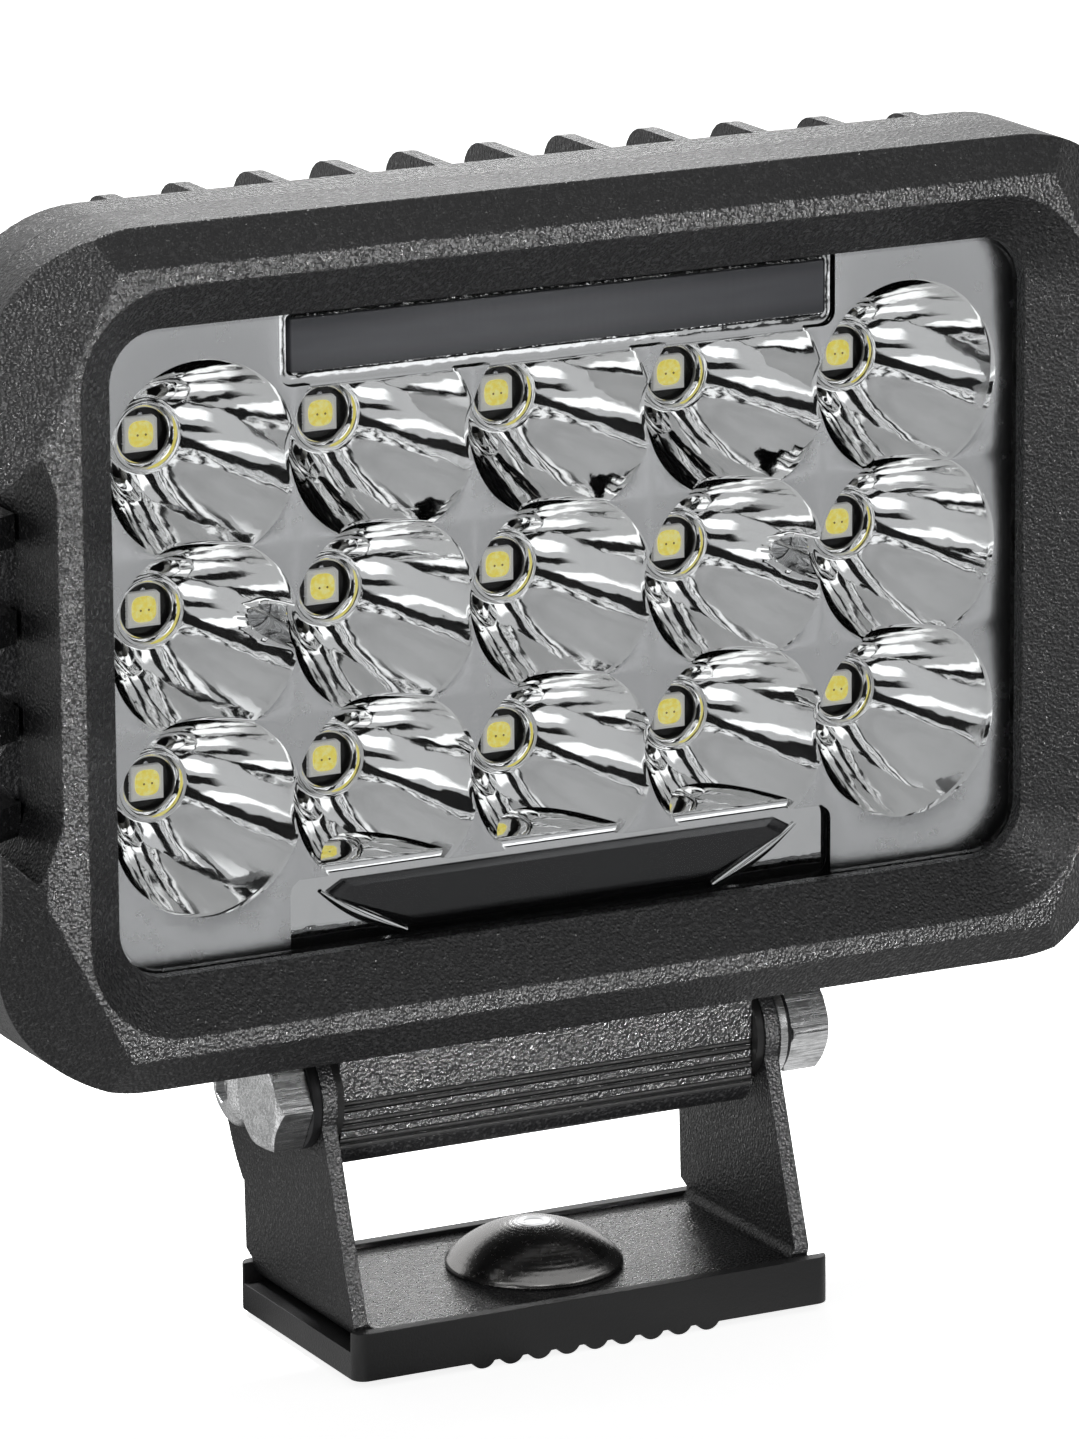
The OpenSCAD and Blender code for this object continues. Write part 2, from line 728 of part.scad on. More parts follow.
module lock_screws() {
    x_seat = ear_out + slide_gap;
    socket_r = lock_r * 0.75;
    rim_share = 0.2;
    crown = [for (u = [0:0.25:1])
        [lock_head_r * cos(65 * u), lock_head_t * (rim_share + (1 - rim_share) * u)]];
    color([0.75, 0.76, 0.78]) for (s = [0, 1]) mirror([s, 0, 0]) difference() {
        union() {
            cross_bar(lock_r, lug_x - lock_depth, x_seat + over / 2, lock_arm, lock_angle);
            translate([x_seat, pivot_y + lock_arm * cos(lock_angle), pivot_z + lock_arm * sin(lock_angle)])
                rotate([0, 90, 0]) rotate_extrude($fn = round_fn)
                    polygon(concat([[0, 0], [lock_head_r, 0]], crown, [[0, lock_head_t]]));
        }
        cross_bar(socket_r, x_seat + lock_head_t / 2, x_seat + lock_head_t + over, lock_arm, lock_angle, 6);
    }
}

module pivot_bolt() {
    seat = -ear_out - head_washer_t;
    color([0.78, 0.79, 0.8]) {
        cross_bar(pivot_r, seat - over / 2, nut_x + nut_t - 0.4);
        intersection() {
            hex_bar(hex_flat, seat - bolt_head_t, seat);
            cone_r = hex_flat / 2 / cos(30) + 2;
            translate([seat - bolt_head_t, pivot_y, pivot_z]) rotate([0, 90, 0])
                cylinder(h = bolt_head_t + over, r1 = hex_flat / 2 - 0.3, r2 = cone_r + 8, $fn = round_fn);
        }
    }
}

module pivot_nut() {
    color([0.78, 0.79, 0.8]) difference() {
        intersection() {
            hex_bar(hex_flat, nut_x, nut_x + nut_t);
            translate([nut_x, pivot_y, pivot_z]) rotate([0, 90, 0])
                cylinder(h = nut_t + 8, r1 = hex_flat / 2 + 0.1, r2 = hex_flat / 2 + 20, $fn = round_fn);
            translate([nut_x - 8, pivot_y, pivot_z]) rotate([0, 90, 0])
                cylinder(h = nut_t + 8, r1 = hex_flat / 2 + 20, r2 = hex_flat / 2 + 0.1, $fn = round_fn);
        }
        cross_bar(pivot_r + run_gap, nut_x - over, nut_x + nut_t + over);
    }
}

module head_lock_washer() {
    color([0.12, 0.12, 0.12]) ring(pivot_r + 3.5, pivot_r + 0.2, -ear_out - head_washer_t, -ear_out);
}

module nut_flat_washer() {
    color([0.72, 0.73, 0.75]) ring(pivot_r + 4, pivot_r + 0.2, ear_out, ear_out + nut_washer_t);
}

module nut_lock_washer() {
    color([0.12, 0.12, 0.12]) ring(pivot_r + 3.3, pivot_r + 0.2, ear_out + nut_washer_t, nut_x);
}

module friction_washers() {
    color([0.04, 0.04, 0.04]) for (s = [0, 1]) mirror([s, 0, 0])
        ring(ear_r - 0.3, pivot_r + 0.2, ear_in - washer_t, ear_in);
}

// ---------- bracket and pad ----------

// Section of the bent steel, in X and Z: a U with round bends
module u_section() {
    top = pivot_z + 40;
    outer_r = bend_r + steel_t;
    difference() {
        u_solid(ear_out, foot_z, outer_r, top);
        u_solid(ear_in, foot_top, bend_r, top + over);
    }
}

module u_solid(hw, low, r, top) {
    translate([-hw, low + r]) square([2 * hw, top - low - r]);
    translate([-hw + r, low]) square([2 * (hw - r), r + over]);
    for (s = [-1, 1]) translate([s * (hw - r), low + r]) circle(r, $fn = round_fn);
}

// Side view of the bracket, in Y and Z
module ear_figure() {
    top_angle = lock_angle + tilt_forward + 2;
    low_angle = lock_angle - tilt_back - 24;
    steps = 10;
    arc = [for (i = [0:steps]) let (a = low_angle + (top_angle - low_angle) * i / steps)
        [pivot_y + (lock_arm + lobe_r) * cos(a), pivot_z + (lock_arm + lobe_r) * sin(a)]];
    over_wall = pad_h + 0.6;
    inside_y = foot_y - 2;
    waist_z = foot_top + (pivot_z - foot_top) * 0.42;
    translate([pivot_y, pivot_z]) circle(ear_r, $fn = fine);
    translate([pivot_y + lock_arm * cos(top_angle), pivot_z + lock_arm * sin(top_angle)])
        circle(lobe_r, $fn = round_fn);
    polygon(concat(
        [[pivot_y, pivot_z], [pivot_y - ear_r * 0.93, pivot_z - ear_r * 0.36],
            [-inside_y, over_wall], [-inside_y, foot_top],
            [-foot_y, foot_top], [-foot_y, foot_z], [foot_y, foot_z], [foot_y, over_wall],
            [pad_d / 2, over_wall + 1], [pad_d / 2 + 0.4, waist_z]], arc));
}

// Slot in an ear for the locking screw's travel
module lock_slot() {
    half = lock_r + 0.4;
    from = lock_angle - tilt_back - 0.6;
    to = lock_angle + tilt_forward + 0.6;
    width = 2 * (ear_out + over);
    translate([-width / 2, pivot_y, pivot_z]) rotate([90, 0, 90]) rotate([0, 0, from])
        rotate_extrude(angle = to - from, $fn = fine)
            translate([lock_arm - half, 0]) square([2 * half, width]);
    for (a = [from, to]) cross_bar(half, -width / 2, width / 2, lock_arm, a);
}

module bracket() {
    neck = stud_r + stud_gap;
    color([0.09, 0.09, 0.095]) difference() {
        intersection() {
            slab(-pad_d, pad_d) u_section();
            side_slab(-ear_out - over, ear_out + over) ear_figure();
        }
        cross_bar(pivot_r + 0.25, -ear_out - over, ear_out + over);
        lock_slot();
        translate([-neck, -neck, foot_z - over]) cube([2 * neck, 2 * neck, steel_t + 2 * over]);
    }
}

module base_pad() {
    tread_r = 2;
    tread_pitch = 4.5;
    treads = 4;
    wall_y = pad_d / 2 - pad_wall;
    color([0.06, 0.06, 0.06]) difference() {
        union() {
            translate([0, 0, rib_h]) linear_extrude(foot_z - rib_h) round_rect(pad_w / 2, pad_d / 2, 2);
            difference() {
                translate([0, 0, rib_h]) linear_extrude(pad_h - rib_h) round_rect(pad_w / 2, pad_d / 2, 2);
                translate([-pad_w, -wall_y, foot_z]) cube([2 * pad_w, 2 * wall_y, pad_h]);
            }
            for (i = [-treads:treads]) translate([i * tread_pitch, -pad_d / 2, tread_r])
                rotate([-90, 0, 0]) cylinder(h = pad_d, r = tread_r, $fn = 32);
        }
        translate([0, 0, -over]) cylinder(h = foot_z + 2 * over, r = stud_r + stud_gap, $fn = round_fn);
    }
}

// Cup-headed bolt: its rolled thread below the pad, and the thinner plain shank above
module mounting_bolt() {
    shank_r = 0.9 * stud_r;
    ball = (pow(dome_r, 2) + pow(dome_h, 2)) / (2 * dome_h);
    neck_low = foot_z + 0.2;
    rim_top = foot_top + dome_rim;
    color([0.2, 0.2, 0.21]) {
        translate([0, 0, foot_top]) cylinder(h = dome_rim, r = dome_r, $fn = fine);
        intersection() {
            translate([0, 0, rim_top]) cylinder(h = dome_h + over, r = dome_r + over, $fn = fine);
            translate([0, 0, rim_top + dome_h - ball]) sphere(ball, $fn = fine);
        }
        translate([-stud_r, -stud_r, neck_low])
            cube([2 * stud_r, 2 * stud_r, foot_top - neck_low + dome_rim / 2]);
        cylinder(h = foot_top, r = shank_r, $fn = round_fn);
        translate([0, 0, -stud_len]) cylinder(h = stud_len, r = stud_r, $fn = round_fn);
    }
}

front_bezel();
lens_gasket();
lens();
reflector();
nameplate();
position_light_guide();
position_light_board();
position_light_leds();
led_board();
led_packages();
led_phosphors();
driver_inductors();
driver_capacitors();
board_connector();
board_screws();
reflector_screws();
thermal_pad();
housing_seal();
rear_housing();
bezel_screws();
vent_plug();
gland_body();
gland_nut();
gland_seal();
lock_screws();
bracket();
base_pad();
mounting_bolt();
pivot_bolt();
head_lock_washer();
friction_washers();
nut_flat_washer();
nut_lock_washer();
pivot_nut();
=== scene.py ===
"""Looks of a rectangular LED fog light on its tilting bracket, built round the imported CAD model."""

import json
import logging
import math
import random
from dataclasses import dataclass
from enum import Enum
from typing import Any, Callable, Iterable, Sequence

import bmesh
import bpy
from mathutils import Matrix, Vector

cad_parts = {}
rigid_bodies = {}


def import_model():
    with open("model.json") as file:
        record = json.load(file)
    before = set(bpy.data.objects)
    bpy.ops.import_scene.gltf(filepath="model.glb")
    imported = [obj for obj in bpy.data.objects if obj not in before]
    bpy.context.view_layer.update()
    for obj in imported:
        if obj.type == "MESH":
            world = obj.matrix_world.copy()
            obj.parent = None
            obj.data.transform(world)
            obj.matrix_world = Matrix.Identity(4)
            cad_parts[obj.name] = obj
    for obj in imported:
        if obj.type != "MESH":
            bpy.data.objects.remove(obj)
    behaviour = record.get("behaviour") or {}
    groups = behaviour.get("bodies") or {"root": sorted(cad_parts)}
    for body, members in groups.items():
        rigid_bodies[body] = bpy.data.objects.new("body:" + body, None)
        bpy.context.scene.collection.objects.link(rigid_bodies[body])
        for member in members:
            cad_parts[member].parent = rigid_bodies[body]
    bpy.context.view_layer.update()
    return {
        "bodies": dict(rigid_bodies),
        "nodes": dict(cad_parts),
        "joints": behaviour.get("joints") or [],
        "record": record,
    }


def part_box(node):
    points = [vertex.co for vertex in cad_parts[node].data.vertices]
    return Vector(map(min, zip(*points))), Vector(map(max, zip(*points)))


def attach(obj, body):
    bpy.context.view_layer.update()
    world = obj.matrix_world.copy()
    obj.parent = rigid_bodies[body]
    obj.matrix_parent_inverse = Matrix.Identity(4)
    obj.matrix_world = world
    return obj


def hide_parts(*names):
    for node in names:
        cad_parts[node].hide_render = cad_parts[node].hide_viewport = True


LOG = logging.getLogger("fog_light")
MM = 0.001
Color = tuple[float, float, float]
Point = tuple[float, float, float]
# Y and Z of the cross bolt that the head tilts on, in millimetres
TILT_AXIS = (0.8, 37.6)


class Body(Enum):
    """The two rigid bodies that pieces ride on."""

    HEAD = "lamp_head"
    BASE = "bracket_base"


# ---------------------------------------------------------------- shader language


class Val:
    """A shader socket that takes part in Python arithmetic."""

    def __init__(self, graph: "Graph", socket: bpy.types.NodeSocket) -> None:
        """Keeps the socket and the graph that new Math nodes go to."""
        self.graph = graph
        self.socket = socket

    def __add__(self, other: Any) -> "Val":
        """self + other."""
        return self.graph.math("ADD", self, other)

    def __radd__(self, other: Any) -> "Val":
        """other + self."""
        return self.graph.math("ADD", other, self)

    def __sub__(self, other: Any) -> "Val":
        """self - other."""
        return self.graph.math("SUBTRACT", self, other)

    def __rsub__(self, other: Any) -> "Val":
        """other - self."""
        return self.graph.math("SUBTRACT", other, self)

    def __mul__(self, other: Any) -> "Val":
        """self * other."""
        return self.graph.math("MULTIPLY", self, other)

    def __rmul__(self, other: Any) -> "Val":
        """other * self."""
        return self.graph.math("MULTIPLY", other, self)

    def __truediv__(self, other: Any) -> "Val":
        """self / other."""
        return self.graph.math("DIVIDE", self, other)

    def __pow__(self, other: Any) -> "Val":
        """self to the power of other."""
        return self.graph.math("POWER", self, other)

    def __abs__(self) -> "Val":
        """Absolute value."""
        return self.graph.math("ABSOLUTE", self)

    def step(self, low: float, high: float) -> "Val":
        """A smooth step from 0 at low to 1 at high.

        Args:
            low: value where the step starts.
            high: value where it ends.

        Returns:
            The stepped value.
        """
        return self.graph.add(
            "ShaderNodeMapRange",
            {"interpolation_type": "SMOOTHSTEP"},
            {"Value": self, "From Min": low, "From Max": high, "To Min": 0.0, "To Max": 1.0},
        )


class Graph:
    """Builds one material's or world's node tree."""

    def __init__(self, tree: bpy.types.NodeTree) -> None:
        """Empties the tree."""
        self.tree = tree
        tree.nodes.clear()

    def feed(self, socket: bpy.types.NodeSocket, value: Any) -> None:
        """Links a Val to a socket, or sets its value.

        Args:
            socket: the input socket.
            value: a Val, a number, or a colour or vector tuple.
        """
        if isinstance(value, Val):
            self.tree.links.new(value.socket, socket)
        elif isinstance(value, (tuple, list)) and len(value) == 3 and socket.type == "RGBA":
            socket.default_value = (*value, 1.0)
        else:
            socket.default_value = value

    def add(self, kind: str, settings: dict | None = None, sockets: dict | None = None,
            out: int | str = 0) -> Val:
        """Adds a node of any kind.

        Args:
            kind: the node's type name.
            settings: properties set first.
            sockets: input sockets by name or index, each with a value or a Val.
            out: the output to hand back.

        Returns:
            The chosen output.
        """
        node = self.tree.nodes.new(kind)
        for key, value in (settings or {}).items():
            setattr(node, key, value)
        for key, value in (sockets or {}).items():
            self.feed(node.inputs[key], value)
        return Val(self, node.outputs[out] if len(node.outputs) else None)

    def math(self, operation: str, *values: Any) -> Val:
        """A Math node on one or more values."""
        return self.add("ShaderNodeMath", {"operation": operation}, dict(enumerate(values)))

    def vector(self, operation: str, *values: Any, out: int = 0) -> Val:
        """A Vector Math node on one or more vectors."""
        return self.add("ShaderNodeVectorMath", {"operation": operation}, dict(enumerate(values)), out)

    def millimetres(self, stretch: Point = (1.0, 1.0, 1.0)) -> Val:
        """The place on the piece in millimetres.

        Args:
            stretch: factors on the three axes, to draw a pattern out along one of them.

        Returns:
            The scaled object coordinates.
        """
        place = self.add("ShaderNodeTexCoord", out="Object")
        return self.vector("MULTIPLY", place, tuple(s / MM for s in stretch))

    def parts(self, vector: Val) -> tuple[Val, Val, Val]:
        """Takes a vector apart.

        Args:
            vector: the vector.

        Returns:
            Its x, y and z.
        """
        first = self.add("ShaderNodeSeparateXYZ", None, {0: vector})
        node = first.socket.node
        return first, Val(self, node.outputs[1]), Val(self, node.outputs[2])

    def wave(self, value: Val, rate: float) -> Val:
        """A sine of a value, between 0 and 1."""
        return self.math("SINE", value * rate) * 0.5 + 0.5

    def noise(self, place: Val, scale: float, detail: float = 2.0, rough: float = 0.5) -> Val:
        """Soft noise with features of 1 / scale millimetres."""
        return self.add("ShaderNodeTexNoise", {"noise_dimensions": "3D"},
                        {"Vector": place, "Scale": scale, "Detail": detail, "Roughness": rough})

    def cells(self, place: Val, scale: float) -> Val:
        """Distance to the nearest of scattered points, for grains and pits."""
        return self.add("ShaderNodeTexVoronoi", {"feature": "F1"}, {"Vector": place, "Scale": scale})

    def blend(self, factor: Any, first: Any, second: Any) -> Val:
        """A mix of two colours.

        Args:
            factor: 0 for the first, 1 for the second.
            first: a colour.
            second: a colour.

        Returns:
            The mixed colour.
        """
        return self.add("ShaderNodeMix", {"data_type": "RGBA"}, {0: factor, 6: first, 7: second}, 2)

    def bump(self, height: Val, depth: float, strength: float = 1.0, normal: Val | None = None) -> Val:
        """A bumped normal.

        Args:
            height: the height, 0 to 1.
            depth: millimetres that a height of 1 stands for.
            strength: share of the bump that shows.
            normal: the normal under the bump, if it isn't the surface's own.

        Returns:
            The normal.
        """
        sockets = {"Strength": strength, "Distance": depth * MM, "Height": height}
        if normal is not None:
            sockets["Normal"] = normal
        return self.add("ShaderNodeBump", None, sockets)


# ---------------------------------------------------------------- finishes

Sockets = dict[str, Any]


@dataclass(frozen=True)
class Finish:
    """A finish that varies a little over the surface; each kind says how in dress()."""

    name: str
    color: Color
    roughness: float = 0.5
    metallic: float = 0.0
    coat: float = 0.0
    specular: float = 0.5
    glow: float = 0.0

    def material(self) -> bpy.types.Material:
        """The material of this finish, made once.

        Returns:
            The material.
        """
        found = bpy.data.materials.get(f"finish_{self.name}")
        if found is not None:
            return found
        made = bpy.data.materials.new(f"finish_{self.name}")
        made.use_nodes = True
        graph = Graph(made.node_tree)
        steady = {
            "Base Color": self.color, "Roughness": self.roughness, "Metallic": self.metallic,
            "Coat Weight": self.coat, "Coat Roughness": 0.06, "Specular IOR Level": self.specular,
            "Emission Color": self.color, "Emission Strength": self.glow}
        shader = graph.add("ShaderNodeBsdfPrincipled", None, {**steady, **self.dress(graph)})
        graph.add("ShaderNodeOutputMaterial", None, {"Surface": self.surface(graph, shader)})
        return made

    def scaled(self, factor: float, lift: float = 0.0) -> Color:
        """The finish's colour times a factor, and lifted."""
        return tuple(factor * c + lift for c in self.color)

    def dress(self, graph: Graph) -> Sockets:
        """What varies over the surface; the plain finish has a little soil and grain.

        Args:
            graph: the material's graph.

        Returns:
            Values for the Principled shader's sockets, by name.
        """
        place = graph.millimetres()
        soil = graph.noise(place, 0.12, 4.0)
        return {
            "Base Color": graph.blend(soil, self.scaled(0.85), self.color),
            "Roughness": self.roughness * 0.85 + soil * (0.3 * self.roughness),
            "Normal": graph.bump(graph.noise(place, 3.0, 2.0), 0.01, 0.4),
        }

    def surface(self, graph: Graph, shader: Val) -> Val:
        """The shader of the surface, here the Principled one as it is."""
        return shader


@dataclass(frozen=True)
class PowderCoat(Finish):
    """Powder coat: packed grains that glint, partly through painted highlights in their colour, over a slow
    change of tone. Millimetres.
    """

    grain: float = 0.5
    depth: float = 0.16
    glint: float = 1.0
    edge: float = 0.45

    def dress(self, graph: Graph) -> Sockets:
        """Grains as bumps, glints as smoother grains that also carry a painted highlight in their colour, and
        soft edges.

        Args:
            graph: the material's graph.

        Returns:
            Values for the Principled shader's sockets, by name.
        """
        place = graph.millimetres()
        height = graph.cells(place, 1.0 / self.grain) * 0.7
        height = height + graph.noise(place, 0.9 / self.grain, 3.0, 0.6) * 1.1
        pick = graph.noise(place, 0.8 / self.grain, 1.0).step(0.52, 0.68)
        # painted highlight: the picked grains are lighter in colour to stand in for their glints
        tone = graph.blend(pick * self.glint, self.color, self.scaled(1.6, 0.006))
        groove_and_shade = self.groove_and_shade(graph, place)
        if groove_and_shade is None:
            slow = graph.noise(place, 0.06, 3.0)
            tone = graph.blend(slow * 0.35, tone, self.scaled(0.6))
            rough = self.roughness + slow * 0.1
        else:
            height = height * (1.0 - groove_and_shade) - groove_and_shade * 1.6
            # painted shade: the colour goes near black in the grooves, where shade falls
            tone = graph.blend(groove_and_shade, tone, (0.0005, 0.0005, 0.0005))
            rough = self.roughness + groove_and_shade * 0.5
        soft = None
        if self.edge:
            soft = graph.add("ShaderNodeBevel", {"samples": 4}, {"Radius": self.edge * MM})
        return {
            "Base Color": tone,
            "Roughness": rough - pick * (0.2 * self.glint),
            "Normal": graph.bump(height, self.depth, normal=soft),
        }

    def groove_and_shade(self, graph: Graph, place: Val) -> Val | None:
        """Mask of the casting's grooves, where shade is painted into the colour; None where it has none."""
        return None


@dataclass(frozen=True)
class GroovedCoat(PowderCoat):
    """Powder coat of the housing, thin and dull in the double grooves across the lug, where shade is painted
    dark into the colour. Millimetres.
    """

    pairs: int = 3
    first_z: float = 37.15
    pitch: float = 2.7
    within_pair: float = 0.9
    half: float = 0.33
    lug_front: float = -4.4

    def groove_and_shade(self, graph: Graph, place: Val) -> Val | None:
        """Mask of the lug's grooves, where the colour is darkened as painted shade.

        Args:
            graph: the material's graph.
            place: the place on the piece.

        Returns:
            The mask, 1 in the grooves, where shade is painted.
        """
        _, y, z = graph.parts(place)
        mask: Any = 0.0
        for i in range(self.pairs):
            for k in range(2):
                off = abs(z - (self.first_z - i * self.pitch - k * self.within_pair))
                mask = (1.0 - off.step(self.half * 0.6, self.half * 1.25)) + mask
        return mask * (1.0 - y.step(self.lug_front, self.lug_front + 0.3))


@dataclass(frozen=True)
class MirrorPlate(Finish):
    """Vacuum plating: a mirror with slow ripples and faint haze."""

    ripple: float = 0.13
    haze: float = 0.03

    def dress(self, graph: Graph) -> Sockets:
        """Ripples as a shallow bump, haze in the roughness.

        Args:
            graph: the material's graph.

        Returns:
            Values for the Principled shader's sockets, by name.
        """
        place = graph.millimetres()
        slow = graph.noise(graph.millimetres((1.0, 0.45, 1.0)), 0.22, 2.0)
        haze = graph.noise(place, 0.35, 4.0).step(0.45, 0.85)
        return {
            "Roughness": self.roughness + haze * self.haze,
            "Base Color": graph.blend(haze * 0.5, self.color, self.scaled(0.92)),
            "Normal": graph.bump(slow + graph.noise(place, 1.6, 2.0) * 0.03, self.ripple, 0.6),
        }


@dataclass(frozen=True)
class ToolMarked(Finish):
    """Plated metal with the marks of its making: lines drawn along X, also painted darker in the colour as
    reflection, and rings round the tilt axis.
    """

    lay: Point = (0.05, 1.0, 1.0)
    axis: tuple[float, float] = TILT_AXIS

    def dress(self, graph: Graph) -> Sockets:
        """Lines along the lay, rings round the axis, patches of wear, and streaks along the lay painted
        darker as reflection.

        Args:
            graph: the material's graph.

        Returns:
            Values for the Principled shader's sockets, by name.
        """
        place = graph.millimetres()
        drawn = graph.noise(graph.millimetres(self.lay), 3.5, 3.0, 0.7)
        _, y, z = graph.parts(place)
        radius = ((y - self.axis[0]) ** 2.0 + (z - self.axis[1]) ** 2.0) ** 0.5
        rings = graph.wave(radius, 16.0)
        blotch = graph.noise(place, 0.5, 4.0, 0.65)
        # the blotches are wear; the darker streaks along the lay are painted reflection, the dark bands that
        # machined metal shows
        wear_and_painted_streaks = blotch.step(0.4, 0.75) * 0.4 + drawn.step(0.42, 0.62) * 0.6
        return {
            "Base Color": graph.blend(wear_and_painted_streaks, self.color, self.scaled(0.3)),
            "Roughness": self.roughness + drawn * 0.16 + blotch * 0.08,
            "Normal": graph.bump(drawn * 0.8 + rings * 0.25 + blotch * 0.3, 0.09, 0.9),
        }


@dataclass(frozen=True)
class PolishedDome(Finish):
    """Dark polished head with a bright turned middle, about the Z axis."""

    bright: Color = (0.62, 0.62, 0.63)
    middle: float = 3.4

    def dress(self, graph: Graph) -> Sockets:
        """Turning rings, specks and the bright middle.

        Args:
            graph: the material's graph.

        Returns:
            Values for the Principled shader's sockets, by name.
        """
        place = graph.millimetres()
        x, y, _ = graph.parts(place)
        radius = (x ** 2.0 + y ** 2.0) ** 0.5
        near = 1.0 - radius.step(self.middle * 0.55, self.middle * 1.25)
        specks = graph.noise(place, 1.4, 4.0, 0.7)
        return {
            "Base Color": graph.blend(near, self.color, self.bright),
            "Roughness": self.roughness + specks.step(0.5, 0.8) * 0.18 + near * 0.1,
            "Normal": graph.bump(graph.wave(radius, 9.0) * 0.25 + specks * 0.6, 0.07, 0.7),
        }


@dataclass(frozen=True)
class Rubber(Finish):
    """Moulded rubber: satin, with a fine skin, flow marks and a little pale dust."""

    def dress(self, graph: Graph) -> Sockets:
        """Skin and flow marks as bumps, dust in the colour.

        Args:
            graph: the material's graph.

        Returns:
            Values for the Principled shader's sockets, by name.
        """
        place = graph.millimetres()
        flow = graph.noise(graph.millimetres((0.2, 0.2, 1.0)), 0.4, 3.0)
        dust = graph.noise(place, 5.0, 1.0).step(0.74, 0.8)
        return {
            "Base Color": graph.blend(dust * 0.3, self.color, self.scaled(2.2, 0.03)),
            "Roughness": self.roughness + flow * 0.16,
            "Normal": graph.bump(graph.noise(place, 2.6, 4.0, 0.6) * 0.8 + flow * 0.5, 0.12, 0.8),
        }


@dataclass(frozen=True)
class ClearCover(Finish):
    """Clear moulded plastic: see-through with a surface reflection."""

    def dress(self, graph: Graph) -> Sockets:
        """A slow wave in the surface and dust on it.

        Args:
            graph: the material's graph.

        Returns:
            Values for the Principled shader's sockets, by name.
        """
        wave = graph.noise(graph.millimetres(), 0.05, 2.0)
        return {"Normal": graph.bump(wave, 0.12, 0.5), "Roughness": self.roughness + self.dust(graph) * 0.2}

    def dust(self, graph: Graph) -> Val:
        """Specks of dust, 1 on a speck."""
        return graph.noise(graph.millimetres(), 1.7, 4.0, 0.7).step(0.7, 0.78)

    def surface(self, graph: Graph, shader: Val) -> Val:
        """The clear body and its reflection, mixed by the angle that it is seen at.

        Args:
            graph: the material's graph.
            shader: the Principled shader, used for the reflection.

        Returns:
            The mixed shader.
        """
        facing = graph.add("ShaderNodeLayerWeight", None, {"Blend": 0.5}, "Facing")
        clear = graph.add("ShaderNodeBsdfTransparent", None, {"Color": (0.97, 0.975, 0.98)})
        share = 0.035 + facing ** 5.0 * 0.9 + self.dust(graph) * 0.012
        return graph.add("ShaderNodeMixShader", None, {0: share, 1: clear, 2: shader})


@dataclass(frozen=True)
class SmokedGuide(Finish):
    """Dark light guide: lighter in the middle, with fine prism lines across. Millimetres."""

    middle_z: float = 148.45
    half: float = 3.85

    def dress(self, graph: Graph) -> Sockets:
        """Prism lines and the lighter middle.

        Args:
            graph: the material's graph.

        Returns:
            Values for the Principled shader's sockets, by name.
        """
        x, _, z = graph.parts(graph.millimetres())
        off = abs(z - self.middle_z) / self.half
        cloud = graph.noise(graph.millimetres((0.25, 1.0, 1.0)), 0.5, 2.0)
        light = (1.0 - off.step(0.25, 1.0)) * (cloud * 0.5 + 0.6)
        return {
            "Base Color": graph.blend(light, self.color, self.scaled(1.9, 0.01)),
            "Normal": graph.bump(graph.wave(x, 5.2) * 0.3 + cloud * 0.2, 0.05, 0.5),
            "Roughness": self.roughness + cloud * 0.1,
        }


@dataclass(frozen=True)
class PhosphorGel(Finish):
    """Yellow phosphor under silicone, mottled, with a little painted glow of its own that brightens it."""

    pale: Color = (0.84, 0.77, 0.30)

    def dress(self, graph: Graph) -> Sockets:
        """Mottling of the two yellows.

        Args:
            graph: the material's graph.

        Returns:
            Values for the Principled shader's sockets, by name.
        """
        mottle = graph.noise(graph.millimetres(), 1.3, 3.0, 0.6)
        tone = graph.blend(mottle.step(0.35, 0.7), self.color, self.pale)
        return {"Base Color": tone, "Emission Color": tone, "Normal": graph.bump(mottle, 0.04, 0.5)}


COAT_BLACK = (0.0035, 0.0035, 0.0037)
POWDER = PowderCoat("powder_coat", COAT_BLACK, 0.27, specular=0.27, depth=0.18)
HOUSING = GroovedCoat("housing_coat", COAT_BLACK, 0.26, specular=0.28, edge=0.0)
SLOPE = PowderCoat("fine_powder_coat", COAT_BLACK, 0.31, specular=0.22, grain=0.45, depth=0.10, glint=0.6)
STEEL_COAT = PowderCoat("bracket_coat", (0.005, 0.005, 0.0053), 0.31, specular=0.25, grain=0.42, edge=0.3)
MIRROR = MirrorPlate("mirror_plate", (0.93, 0.93, 0.925), 0.03, 1.0)
SATIN = MirrorPlate("satin_plate", (0.78, 0.78, 0.78), 0.25, 1.0, ripple=0.06, haze=0.05)
ZINC = ToolMarked("zinc_plate", (0.74, 0.745, 0.75), 0.16, 1.0)
OXIDE = Finish("black_oxide", (0.03, 0.03, 0.032), 0.38, 0.6)
DOME = PolishedDome("dark_polish", (0.30, 0.295, 0.29), 0.2, 0.95)
PAD_RUBBER = Rubber("pad_rubber", (0.013, 0.013, 0.0135), 0.36, specular=0.5)
SEAL_RUBBER = Rubber("seal_rubber", (0.015, 0.015, 0.015), 0.6)
NYLON = Finish("black_nylon", (0.03, 0.03, 0.03), 0.42)
CLEAR = ClearCover("clear_cover", (0.02, 0.02, 0.02), 0.03)
GUIDE = SmokedGuide("smoked_guide", (0.10, 0.10, 0.11), 0.2, coat=0.5)
GLOSS_BLACK = Finish("gloss_black", (0.008, 0.008, 0.009), 0.16, coat=0.6)
# painted light: the ceramic glows a little to lift it out of the shade in the cups
CERAMIC = Finish("led_ceramic", (0.85, 0.85, 0.83), 0.35, glow=0.22)
